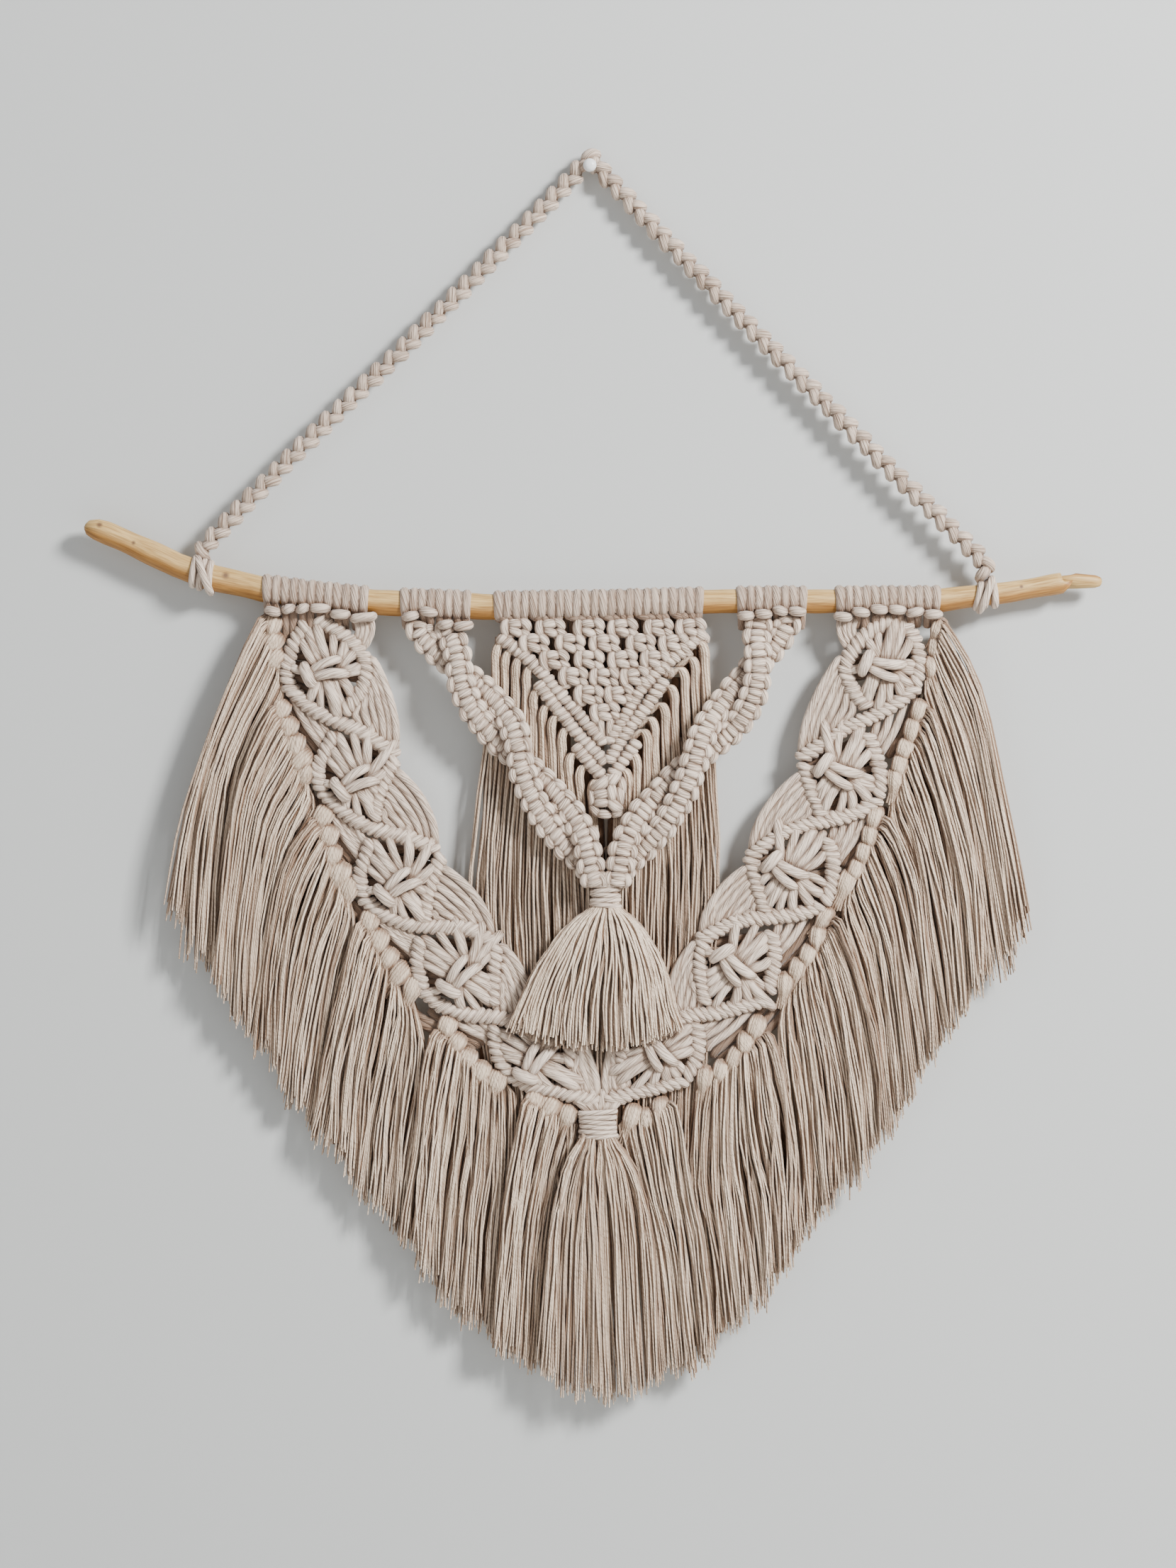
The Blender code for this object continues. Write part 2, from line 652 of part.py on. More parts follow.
def make_band_tassel():
    rings = []
    last = BAND_TASSEL[-1]
    for z, x, half_width, half_depth, y in BAND_TASSEL:
        ring = []
        for side in range(TASSEL_SIDES):
            turn = 2 * math.pi * (side + 0.5) / TASSEL_SIDES
            rib = 1.0 - TASSEL_RIB * (side % 2)
            drop = TASSEL_HEM * (1 - math.cos(turn) ** 2) if z == last[0] else 0.0
            ring.append(
                Vector(
                    (
                        x + half_width * math.cos(turn),
                        y + half_depth * math.sin(turn) * rib,
                        z - drop,
                    )
                )
                * MM
            )
        rings.append(ring)
    loft("band_tassel", rings, shaded_cotton())


clear_scene()
make_branch()
for row_name, (row_start, row_turns) in MOUNT_ROWS.items():
    make_turns(row_name, row_start, row_turns, WRAP_THICK)
for tie_name, (tie_start, tie_turns) in HANGER_TIES.items():
    make_turns(tie_name, tie_start, tie_turns, TIE_THICK)
make_hanger()
make_pin()
make_panel()
make_v_rows()
make_berry()
make_centre_fringes()
make_bands()
make_gathers()
make_band_tassel()
make_motifs()
make_fringes()
make_bottom_tassel()
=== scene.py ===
"""Macrame wall hanging: every cord, knot, yarn and the branch of it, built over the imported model.

Metres, +Z up, the front facing -Y, the wall's face at Y = 0. Tables give places in millimetres.
"""

import math
import random

import bmesh
import bpy
import numpy as np
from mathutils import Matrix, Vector
from mathutils.kdtree import KDTree


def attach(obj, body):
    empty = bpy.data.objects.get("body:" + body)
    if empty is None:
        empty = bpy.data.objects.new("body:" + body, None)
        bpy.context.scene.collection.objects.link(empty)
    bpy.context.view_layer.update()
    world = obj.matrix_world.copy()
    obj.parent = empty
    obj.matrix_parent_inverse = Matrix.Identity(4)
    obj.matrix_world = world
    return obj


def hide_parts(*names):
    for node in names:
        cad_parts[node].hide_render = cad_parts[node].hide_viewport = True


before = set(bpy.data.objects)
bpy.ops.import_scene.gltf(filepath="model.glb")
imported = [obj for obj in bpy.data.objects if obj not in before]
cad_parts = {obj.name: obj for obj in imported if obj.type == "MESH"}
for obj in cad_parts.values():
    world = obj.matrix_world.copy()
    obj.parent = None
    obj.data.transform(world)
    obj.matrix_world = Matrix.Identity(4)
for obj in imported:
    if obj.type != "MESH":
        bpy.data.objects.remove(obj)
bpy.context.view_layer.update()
MM = 0.001


# ---------------------------------------------------------------- The room
# A plain pale wall just behind the hanging, a plain floor well below it, and studio light that
# comes from the upper right, so that shadows fall to the left. The wall is seen from the front
# only, and lets the rear lamp through, for views from behind.
VIEW_CENTRE = Vector((-1.0, 0.0, -349.2)) * MM
VIEW_WIDTH = 663.6 * MM
VIEW_DISTANCE = 2.0
KNOT_PLANE_Y = -14.0 * MM
SENSOR = 36.0

camera = bpy.data.objects.new("camera", bpy.data.cameras.new("camera"))
camera.data.sensor_fit = "HORIZONTAL"
camera.data.sensor_width = SENSOR
camera.data.lens = SENSOR * VIEW_DISTANCE / VIEW_WIDTH
camera.location = VIEW_CENTRE + Vector((0.0, KNOT_PLANE_Y - VIEW_DISTANCE, 0.0))
camera.rotation_euler = (math.radians(90.0), 0.0, 0.0)
bpy.context.scene.collection.objects.link(camera)
bpy.context.scene.camera = camera


def matt(name, colour, roughness):
    """A plain material; returns it with its node tree and its shader."""
    material = bpy.data.materials.new(name)
    material.use_nodes = True
    shader = material.node_tree.nodes["Principled BSDF"]
    shader.inputs["Base Color"].default_value = (*colour, 1.0)
    shader.inputs["Roughness"].default_value = roughness
    return material, material.node_tree, shader


def plug(tree, taker, inputs):
    """Gives a node's inputs, by name or number, a value, an output, or another node's first one."""
    for socket, given in inputs.items():
        if isinstance(given, bpy.types.Node):
            given = given.outputs[0]
        if isinstance(given, bpy.types.NodeSocket):
            tree.links.new(given, taker.inputs[socket])
        else:
            taker.inputs[socket].default_value = given
    return taker


def node(tree, kind, inputs=None, **settings):
    """A new node of this kind, with its settings made and its inputs plugged in."""
    made = tree.nodes.new(kind)
    for name, value in settings.items():
        setattr(made, name, value)
    return plug(tree, made, inputs or {})


def plane(name, corners, material):
    """A flat piece of the room, which isn't part of the object."""
    mesh = bpy.data.meshes.new(name)
    shape = bmesh.new()
    shape.faces.new([shape.verts.new(corner) for corner in corners])
    shape.to_mesh(mesh)
    shape.free()
    mesh.materials.append(material)
    piece = bpy.data.objects.new(name, mesh)
    bpy.context.scene.collection.objects.link(piece)


wall_paint, tree, shader = matt("wall_paint", (0.525, 0.537, 0.527), 0.9)
from_behind = node(tree, "ShaderNodeNewGeometry").outputs["Backfacing"]
for_shadow = node(tree, "ShaderNodeLightPath").outputs["Is Shadow Ray"]
either = node(tree, "ShaderNodeMath", {0: from_behind, 1: for_shadow}, operation="MAXIMUM")
clear = node(tree, "ShaderNodeBsdfTransparent")
choice = node(tree, "ShaderNodeMixShader", {0: either, 1: shader, 2: clear})
plug(tree, tree.nodes["Material Output"], {"Surface": choice})
floor_paint, _, _ = matt("floor_paint", (0.62, 0.61, 0.59), 0.7)

WALL_Y = 0.2 * MM
FLOOR_Z, WALL_TOP = -1.0, 2.0
SIDE, FRONT = 3.0, 4.0
wall_corners = ((-SIDE, FLOOR_Z), (SIDE, FLOOR_Z), (SIDE, WALL_TOP), (-SIDE, WALL_TOP))
plane("wall", [(x, WALL_Y, z) for x, z in wall_corners], wall_paint)
floor_corners = ((-SIDE, -FRONT), (SIDE, -FRONT), (SIDE, FRONT), (-SIDE, FRONT))
plane("floor", [(x, y, FLOOR_Z) for x, y in floor_corners], floor_paint)

LAMPS = (
    # name, place, power, width
    ("key", (1.42, -1.50, 0.72), 119.0, 0.5),
    ("fill", (-1.6, -1.9, 0.1), 10.0, 1.6),
    ("rear", (0.6, 1.9, 0.4), 16.0, 1.6),
)
for lamp_name, place, power, width in LAMPS:
    lamp = bpy.data.lights.new(lamp_name, "AREA")
    lamp.energy = power
    lamp.size = width
    holder = bpy.data.objects.new(lamp_name, lamp)
    holder.location = place
    aim = VIEW_CENTRE - Vector(place)
    holder.rotation_euler = aim.to_track_quat("-Z", "Y").to_euler()
    bpy.context.scene.collection.objects.link(holder)
world = bpy.data.worlds.new("room_light")
world.use_nodes = True
world.node_tree.nodes["Background"].inputs["Color"].default_value = (0.93, 0.95, 1.0, 1.0)
world.node_tree.nodes["Background"].inputs["Strength"].default_value = 0.40
bpy.context.scene.world = world


# ---------------------------------------------------------------- The branch
# A thin branch, peeled and dried, a little bent at its left end, whittled to a blunt tip at the
# right. It is laid out as a line of stations, each as thick as the wood is there, and rounded.
def cord_from_line():
    """Geometry nodes: a tube along each line of a mesh, as thick as its points say."""
    group = bpy.data.node_groups.new("cord_from_line", "GeometryNodeTree")
    for name, way, kind in (
        ("Geometry", "INPUT", "Geometry"),
        ("Sides", "INPUT", "Int"),
        ("Geometry", "OUTPUT", "Geometry"),
    ):
        group.interface.new_socket(name, in_out=way, socket_type="NodeSocket" + kind)
    given = node(group, "NodeGroupInput").outputs
    sizes = {"Resolution": given["Sides"], "Radius": 1.0}
    edge = node(group, "GeometryNodeCurvePrimitiveCircle", sizes)
    marked = node(
        group,
        "GeometryNodeStoreNamedAttribute",
        {"Geometry": edge, "Name": "ring", "Value": node(group, "GeometryNodeInputPosition")},
        data_type="FLOAT_VECTOR",
    )
    line = node(group, "GeometryNodeMeshToCurve", {"Mesh": given["Geometry"]})
    thick = node(group, "GeometryNodeInputNamedAttribute", {"Name": "thick"})
    tube = node(
        group,
        "GeometryNodeCurveToMesh",
        {"Curve": line, "Profile Curve": marked, "Scale": thick, "Fill Caps": True},
    )
    smooth = node(group, "GeometryNodeSetShadeSmooth", {"Geometry": tube})
    node(group, "NodeGroupOutput", {"Geometry": smooth})
    return group


CORD_FROM_LINE = cord_from_line()
LAID = []  # the route and the radii of each cord, which the creases need at the end


def cords(name, lines, finish, sides=8):
    """One piece of many round cords. A line is its points, its radius and its shade, 0 to 1."""
    points, edges, thick, along, turn, shade = [], [], [], [], [], []
    start = 0
    for number, (route, radius, tone) in enumerate(lines):
        count = len(route)
        points.append(route)
        edges.append(np.stack((np.arange(count - 1), np.arange(1, count)), axis=1) + start)
        thick.append(np.broadcast_to(radius, count))
        steps = np.linalg.norm(np.diff(route, axis=0), axis=1)
        along.append(np.concatenate(([0.0], np.cumsum(steps))) + 0.37 * number)
        turn.append(np.concatenate(([0.0], np.cumsum(steps / thick[-1][1:]))) + 1.7 * number)
        shade.append(np.broadcast_to(tone, count))
        LAID.append((route, thick[-1]))
        start += count
    mesh = bpy.data.meshes.new(name)
    mesh.from_pydata(np.concatenate(points), np.concatenate(edges), [])
    for mark, values in (("thick", thick), ("along", along), ("turn", turn), ("shade", shade)):
        attribute = mesh.attributes.new(mark, "FLOAT", "POINT")
        attribute.data.foreach_set("value", np.concatenate(values).astype(np.float32))
    lining = bpy.data.objects.new(name + "_line", mesh)
    bpy.context.scene.collection.objects.link(lining)
    rounding = lining.modifiers.new("round", "NODES")
    rounding.node_group = CORD_FROM_LINE
    rounding["Socket_1"] = sides
    graph = bpy.context.evaluated_depsgraph_get()
    rounded = bpy.data.meshes.new_from_object(lining.evaluated_get(graph))
    bpy.data.objects.remove(lining)
    rounded.name = name
    rounded.materials.clear()
    rounded.materials.append(finish)
    piece = bpy.data.objects.new(name, rounded)
    bpy.context.scene.collection.objects.link(piece)
    return piece


def hung(piece, slot, *nodes):
    """The piece stands for these nodes, which it hides, and hangs with the rest; slot is not used."""
    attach(piece, "root")
    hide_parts(*nodes)


def through(points, steps=3):
    """A smooth curve through these points, with this many steps from each one to the next."""
    points = np.asarray(points, float)
    before = np.vstack((2 * points[0] - points[1], points[:-2], points[-2]))[: len(points) - 1]
    after = np.vstack((points[2:], 2 * points[-1] - points[-2]))
    here, there = points[:-1], points[1:]
    t = (np.arange(steps) / steps)[None, :, None]
    before, here, there, after = (part[:, None, :] for part in (before, here, there, after))
    run = 0.5 * (
        2 * here
        + t * (there - before)
        + t**2 * (2 * before - 5 * here + 4 * there - after)
        + t**3 * (3 * here - 3 * there + after - before)
    )
    return np.vstack((run.reshape(-1, points.shape[1]), points[-1]))


def strand(places, steps, radius, tone):
    """One line for cords(): a smooth one through these (x, y, z) places, which are in mm."""
    return through(np.array(places) * MM, steps), radius * MM, tone


def at(places, y):
    """(x, z) places in mm, at depth y in mm, as points in metres."""
    return np.array([(x, y, z) for x, z in places]) * MM


BRANCH_Y = -13.0 * MM
BRANCH = (
    # x, z, thickness
    (-285.4, -203.8, 0.6),
    (-284.8, -203.9, 4.0),
    (-283.2, -204.2, 8.2),
    (-278.8, -205.2, 11.4),
    (-272.8, -207.2, 12.8),
    (-262.8, -211.6, 13.4),
    (-252.8, -216.4, 13.8),
    (-232.8, -225.8, 14.0),
    (-212.8, -232.8, 14.4),
    (-184.0, -239.6, 14.4),
    (-152.8, -243.6, 14.2),
    (-120.8, -246.8, 14.4),
    (-60.8, -249.2, 14.4),
    (7.2, -248.2, 14.0),
    (75.2, -246.0, 13.6),
    (139.2, -245.8, 13.4),
    (199.2, -245.4, 13.0),
    (235.2, -240.8, 12.0),
    (262.2, -236.6, 11.4),
    (267.2, -235.8, 11.0),
    (274.4, -234.8, 8.8),
    (285.2, -235.0, 7.4),
    (288.0, -235.0, 5.4),
    (288.9, -235.0, 3.2),
    (289.2, -235.0, 0.5),
)
BRANCH_X, BRANCH_Z, BRANCH_THICK = np.array(BRANCH).T * MM


def branch_at(x):
    """The middle of the branch and its radius at x, metres."""
    z = np.interp(x, BRANCH_X, BRANCH_Z)
    return np.array((x, BRANCH_Y, z)), np.interp(x, BRANCH_X, BRANCH_THICK) / 2


WOOD_KNOTS = (
    # x, z, radius of each dark knot
    (-276.0, -203.0, 2.4),
    (-256.8, -213.5, 1.6),
    (-205.0, -232.0, 2.8),
    (243.0, -238.0, 1.5),
)
WOOD_FRONT_Y = -19.0


def peeled_wood():
    """Pale wood with a fine long grain, gold-tinted and darker where it curves under, with a few dark
    knots. The darker gold underneath is partly the wood's own tint and partly painted shade.
    """
    material, tree, shader = matt("peeled_wood", (0.62, 0.44, 0.25), 0.5)
    ring = node(tree, "ShaderNodeAttribute", attribute_name="ring").outputs["Vector"]
    along = node(tree, "ShaderNodeAttribute", attribute_name="along").outputs["Fac"]
    across = node(tree, "ShaderNodeSeparateXYZ", {0: ring}).outputs
    stretch = node(tree, "ShaderNodeMath", {0: along, 1: 9.0}, operation="MULTIPLY")
    grain_at = node(tree, "ShaderNodeCombineXYZ", {0: across[0], 1: across[1], 2: stretch})
    looks = {"Vector": grain_at, "Scale": 7.0, "Detail": 5.0, "Distortion": 0.5}
    grain = node(tree, "ShaderNodeTexNoise", looks)
    tint = node(tree, "ShaderNodeValToRGB", {"Fac": grain})
    low, high = tint.color_ramp.elements
    low.position, low.color = 0.34, (0.36, 0.205, 0.06, 1.0)
    high.position, high.color = 0.66, (0.64, 0.425, 0.165, 1.0)
    # Painted shade and the wood's own tint together: the colour is multiplied darker and more
    # gold-toned where the surface turns under.
    under = node(tree, "ShaderNodeMapRange", {"Value": across[1], "From Min": -0.10, "From Max": 0.45})
    gold_tint_and_shade = {"Factor": under, 6: tint, 7: (0.66, 0.48, 0.25, 1.0)}
    colour = node(tree, "ShaderNodeMix", gold_tint_and_shade, data_type="RGBA", blend_type="MULTIPLY").outputs[2]
    place = node(tree, "ShaderNodeTexCoord").outputs["Object"]
    for x, z, size in WOOD_KNOTS:
        centre = Vector((x, WOOD_FRONT_Y, z)) * MM
        away = node(tree, "ShaderNodeVectorMath", {0: place, 1: centre}, operation="DISTANCE").outputs
        fade = {"Value": away["Value"], "From Min": size * MM, "From Max": 0.35 * size * MM}
        inside = node(tree, "ShaderNodeMapRange", fade)
        dark = {"Factor": inside, 6: colour, 7: (0.16, 0.085, 0.04, 1.0)}
        colour = node(tree, "ShaderNodeMix", dark, data_type="RGBA").outputs[2]
    rough = node(tree, "ShaderNodeMapRange", {"Value": grain, "To Min": 0.62, "To Max": 0.42})
    raised = node(tree, "ShaderNodeBump", {"Height": grain, "Strength": 0.35, "Distance": 0.4 * MM})
    plug(tree, shader, {"Base Color": colour, "Roughness": rough, "Normal": raised})
    return material


WOOD = peeled_wood()
stations = np.concatenate((BRANCH_X[:4], np.arange(-276.0, 270.0, 2.4) * MM, BRANCH_X[-6:]))
chance = random.Random(11)
waver = [  # rate, phase and size of each of the slow waves that bend and swell the wood
    (chance.uniform(40, 190), chance.uniform(0, 6.3), chance.uniform(0.1, 0.35) * MM) for _ in range(7)
]
route, thick = [], []
for x in stations:
    middle, radius = branch_at(x)
    sway = sum(size * math.sin(rate * x + phase) for rate, phase, size in waver)
    swell = sum(size * math.sin(1.7 * rate * x - phase) for rate, phase, size in waver)
    slack = min(1.0, radius / (5.0 * MM))
    route.append(middle + np.array((0.0, 0.3 * sway, 0.35 * sway)) * slack)
    thick.append(radius + 0.30 * swell * slack)
branch = cords("peeled_branch", [(np.array(route), np.array(thick), 1.0)], WOOD, 40)
# The painted shade of the creases below leaves out the wood.
LAID.clear()  # the wood doesn't crease the cords that are wound over it
hung(branch, "peeled_wood", "branch")


# ---------------------------------------------------------------- The hanger
# A narrow braid of natural single-strand cotton, its two cords hitched over each other to the left
# and the right in turn. It is tied to the branch at both ends and laid over the push pin, where the
# weight pulls it into a point.
def along_route(route):
    """How far the route runs, and where a knot's own places lie: down it, across it, to the front."""
    run = np.concatenate(([0.0], np.cumsum(np.linalg.norm(np.diff(route, axis=0), axis=1))))

    def point(s):
        inside = np.clip(s, 0.0, run[-1])
        return np.stack([np.interp(inside, run, route[:, axis]) for axis in range(3)], axis=-1)

    def place(places):
        down, across, front = np.asarray(places, float).T
        reach = min(2.0 * MM, run[-1] / 4)
        inside = np.clip(down, 0.0, run[-1])
        ahead = point(inside + reach) - point(inside - reach)
        ahead /= np.linalg.norm(ahead, axis=1)[:, None]
        sideways = np.stack((-ahead[:, 2], np.zeros(len(down)), ahead[:, 0]), axis=1)
        sideways /= np.linalg.norm(sideways, axis=1)[:, None]
        facing = np.cross(sideways, ahead)
        facing *= -np.sign(facing[:, 1:2])
        past = (down - inside)[:, None]
        return point(inside) + ahead * past + sideways * across[:, None] + facing * front[:, None]

    return run[-1], place


# The humps of a square knot seen from the front, as shares of its length, its half width and its
# cord's radius, and how fat each is: the turn up its side, the upper bar and the turn it ends in,
# and the lower bar with its own.
KNOT_HUMPS = (
    (1.02, (-0.52, 0.50, -0.7), (-0.42, 0.66, 0.5), (-0.12, 0.77, 1.0), (0.18, 0.75, 1.0),
        (0.44, 0.62, 0.4), (0.54, 0.44, -0.7)),
    (1.06, (-0.18, 0.54, -0.4), (-0.24, 0.34, 0.8), (-0.26, 0.07, 1.15), (-0.25, -0.18, 0.8),
        (-0.22, -0.36, -0.4)),
    (1.06, (-0.46, -0.26, -0.4), (-0.42, -0.44, 0.8), (-0.28, -0.66, 1.05), (-0.10, -0.76, 0.6),
        (0.02, -0.72, -0.6)),
    (1.02, (0.06, 0.50, -0.4), (0.11, 0.30, 0.75), (0.21, 0.02, 1.1), (0.31, -0.24, 0.85),
        (0.38, -0.42, -0.3)),
    (0.88, (0.06, -0.38, -0.2), (0.15, -0.55, 0.8), (0.27, -0.73, 0.85), (0.40, -0.88, 0.3),
        (0.50, -0.94, -0.6)),
)
# In a tight flat braid the turns at both sides are long, and lie one to a knot.
BRAID_HUMPS = (
    (1.05, (-0.48, 0.44, -0.5), (-0.38, 0.66, 0.6), (-0.14, 0.86, 0.85), (0.12, 0.90, 0.6),
        (0.34, 0.74, -0.7)),
    (1.14, (-0.20, 0.66, -0.5), (-0.27, 0.44, 0.8), (-0.30, 0.06, 1.2), (-0.28, -0.34, 0.9),
        (-0.26, -0.58, -0.3)),
    (1.08, (0.16, 0.70, -0.4), (0.21, 0.44, 0.85), (0.21, 0.02, 1.15), (0.17, -0.36, 0.9),
        (0.12, -0.58, -0.3)),
    (1.24, (-0.34, -0.56, -0.6), (-0.26, -0.74, 0.5), (-0.02, -0.84, 0.85), (0.22, -0.80, 0.5),
        (0.34, -0.60, -0.6)),
)
KNOT_BACK = (
    (1.0, (-0.40, 0.80, -0.2), (-0.25, 0.40, -1.1), (-0.20, -0.40, -1.1), (-0.10, -0.85, -0.2)),
    (1.0, (0.10, 0.80, -0.2), (0.25, 0.40, -1.1), (0.30, -0.40, -1.1), (0.45, -0.85, -0.2)),
)


def plump(count, tone, waist=0.72):
    """How a short cord swells between its pinched ends, and its painted shade: darkest where it goes
    under.
    """
    bow = np.sin(np.linspace(0.0, math.pi, count))
    return waist + (1.08 - waist) * bow**0.6, tone * (0.42 + 0.58 * np.minimum(1.0, 1.5 * bow))


def square_knot(
    place, middle, length, half, radius, hand, chance, steps=3, humps=KNOT_HUMPS, slack=0.03
):
    """The cords of one square knot whose side turn is on the left (hand -1) or right (hand 1)."""
    found = []
    for fat, *hump in (*humps, *KNOT_BACK):
        jolt = [chance.uniform(-slack, slack) for _ in range(3)]
        route = [
            (
                middle + (down + jolt[0]) * length,
                (across + jolt[1]) * half * hand,
                (front + jolt[2]) * radius,
            )
            for down, across, front in hump
        ]
        swell, tone = plump((len(route) - 1) * steps + 1, chance.uniform(0.88, 1.0))
        fat_along = radius * fat * swell * chance.uniform(0.95, 1.05)
        found.append((through(place(route), steps), fat_along, tone))
    return found


def sinnet(route, knot_length, half, radius, hand, chance, steps=3):
    """A flat braid of square knots over two filler cords, down the route."""
    run, place = along_route(route)
    count = max(1, round(run / knot_length))
    length = run / count
    found = []
    for number in range(count):
        middle = (number + 0.5) * length
        sizes = (length, half, radius, hand)
        found += square_knot(place, middle, *sizes, chance, steps, BRAID_HUMPS, 0.06)
    # The two filler cords under the knots are painted in shade.
    stations = np.linspace(0.0, run, 3 * count + 1)
    for across in (-0.32, 0.32):
        filler = [(down, across * half, 0.0) for down in stations]
        found.append((place(filler), radius * 0.95, 0.5))
    return found


def yarn_lines():
    """Shader group: the twisted yarns of a cotton cord, and the finer fibres on them.

    Yarns is how close they lie, for each metre of the cord's radius, Slant how far they lean, and
    Length how far one runs along the cord before it gives way to the next.
    """
    group = bpy.data.node_groups.new("yarn_lines", "ShaderNodeTree")
    for name in ("Yarns", "Slant", "Length"):
        group.interface.new_socket(name, in_out="INPUT", socket_type="NodeSocketFloat")
    for name in ("Height", "Groove", "Shade"):
        group.interface.new_socket(name, in_out="OUTPUT", socket_type="NodeSocketFloat")
    given = node(group, "NodeGroupInput").outputs
    marks = {
        name: node(group, "ShaderNodeAttribute", attribute_name=name).outputs
        for name in ("ring", "thick", "along", "turn", "shade")
    }

    def maths(operation, one, other):
        return node(group, "ShaderNodeMath", {0: one, 1: other}, operation=operation)

    angle = maths("MULTIPLY", marks["turn"]["Fac"], given["Slant"])
    twist = {"Vector": marks["ring"]["Vector"], "Angle": angle}
    turned = node(group, "ShaderNodeVectorRotate", twist, rotation_type="Z_AXIS")
    size = maths("MULTIPLY", marks["thick"]["Fac"], given["Yarns"])
    wide = node(group, "ShaderNodeVectorMath", {0: turned, "Scale": size}, operation="SCALE")
    across = node(group, "ShaderNodeSeparateXYZ", {0: wide}).outputs
    run = maths("DIVIDE", marks["along"]["Fac"], given["Length"])
    place = node(group, "ShaderNodeCombineXYZ", {0: across[0], 1: across[1], 2: run})
    looks = {"Vector": place, "Scale": 1.0, "Detail": 1.0, "Roughness": 0.45}
    yarn = node(group, "ShaderNodeTexNoise", looks)
    fibre = node(group, "ShaderNodeTexNoise", {"Vector": place, "Scale": 3.1, "Detail": 2.0})
    ridges = node(group, "ShaderNodeMapRange", {"Value": yarn, "From Min": 0.34, "From Max": 0.58})
    hollow = {"Value": yarn, "From Min": 0.30, "From Max": 0.52, "To Min": 1.0, "To Max": 0.0}
    results = {
        "Height": maths("ADD", ridges, maths("MULTIPLY", fibre, 0.35)),
        "Groove": node(group, "ShaderNodeMapRange", hollow),
        "Shade": marks["shade"]["Fac"],
    }
    node(group, "NodeGroupOutput", results)
    return group


YARN_LINES = yarn_lines()


def cotton(name, yarns, slant, length, light, dark, groove, depth, bump, sides=1.0):
    """Natural cotton: light where its shade is high, dark where it is low, and brown in its grooves.
    Its shade is painted shade for the most part and its own tone from cord to cord for the rest; the
    brown in the grooves between its yarns is painted shade.

    Sides is how light a yarn stays on its two sides, which the yarns beside it cover: painted shade,
    by how far its surface turns away from the front and the back.
    """
    material, tree, shader = matt(name, light, 0.88)
    values = {"Yarns": yarns, "Slant": slant, "Length": length}
    lines = node(tree, "ShaderNodeGroup", values, node_tree=YARN_LINES).outputs

    def mixed(one, other, share):
        one, other = ((*part, 1.0) if isinstance(part, tuple) else part for part in (one, other))
        given = {6: one, 7: other, "Factor": share}
        return node(tree, "ShaderNodeMix", given, data_type="RGBA").outputs[2]

    place = node(tree, "ShaderNodeTexCoord").outputs["Object"]
    patches = node(tree, "ShaderNodeTexNoise", {"Vector": place, "Scale": 38.0})
    tint = mixed(tuple(0.93 * part for part in light), light, patches)
    shade = lines["Shade"]
    if sides < 1.0:
        facing = node(tree, "ShaderNodeNewGeometry").outputs["Normal"]
        front = node(tree, "ShaderNodeSeparateXYZ", {0: facing}).outputs["Y"]
        flat = node(tree, "ShaderNodeMath", {0: front}, operation="ABSOLUTE")
        fade = {"Value": flat, "From Min": 0.30, "From Max": 0.92, "To Min": sides}
        side = node(tree, "ShaderNodeMapRange", fade, interpolation_type="SMOOTHSTEP")
        shade = node(tree, "ShaderNodeMath", {0: shade, 1: side}, operation="MULTIPLY")
    share = node(tree, "ShaderNodeMath", {0: lines["Groove"], 1: depth}, operation="MULTIPLY")
    relief = {"Height": lines["Height"], "Strength": 0.9, "Distance": bump}
    raised = node(tree, "ShaderNodeBump", relief)
    plug(tree, shader, {"Base Color": mixed(mixed(dark, tint, shade), groove, share), "Normal": raised})
    plug(tree, shader, {"Sheen Weight": 0.25, "Sheen Roughness": 0.5, "Specular IOR Level": 0.25})
    return material


# The cord's own cream colour, the tan of its painted shade, and the brown of the painted shade in its
# grooves.
CREAM, TAN, BROWN = (0.86, 0.71, 0.58), (0.215, 0.13, 0.082), (0.20, 0.115, 0.07)
CORD = cotton("cotton_cord", 1350.0, 0.34, 0.014, CREAM, TAN, BROWN, 0.75, 0.5 * MM)

HANGER_KNOT = 10.1 * MM
HANGER_LOOP, HANGER_CORD = 3.9 * MM, 2.0 * MM
HANGER_HITCH = (
    # one cord's turn over the others, as shares of half a knot, the half width and the radius
    (-1.00, -0.62, -0.9),
    (-0.58, -0.22, 0.2),
    (-0.26, 0.14, 1.1),
    (0.14, 0.46, 1.2),
    (0.46, 0.76, 0.5),
    (0.64, 0.80, -0.6),
    (0.70, 0.40, -1.3),
)


def looped_braid(route, knot_length, half, radius, chance):
    """A round-edged braid: two cords hitched in turn over each other, left and right."""
    run, place = along_route(route)
    count = 2 * max(1, round(run / knot_length))
    length = run / count
    found = []
    for number in range(count):
        hand = -1 if number % 2 else 1
        jolt = chance.uniform(-0.11, 0.11)
        loop = [
            ((number + 0.5 + down + jolt) * length, across * half * hand, front * radius)
            for down, across, front in HANGER_HITCH
        ]
        swell, tone = plump((len(loop) - 1) * 2 + 1, chance.uniform(0.50, 0.74), 0.36)
        fat_along = radius * 1.5 * swell * chance.uniform(0.9, 1.1)
        found.append((through(place(loop), 2), fat_along, tone))
    # The two filler cords under the hitches are painted in shade.
    stations = np.linspace(0.0, run, 2 * count + 1)
    for phase in (0.0, math.pi):
        sway = 0.30 * half * np.sin(math.pi * stations / length + phase)
        filler = np.stack((stations, sway, np.full(len(stations), -0.5 * radius)), axis=1)
        found.append((place(filler), radius * 0.9, 0.55))
    return found


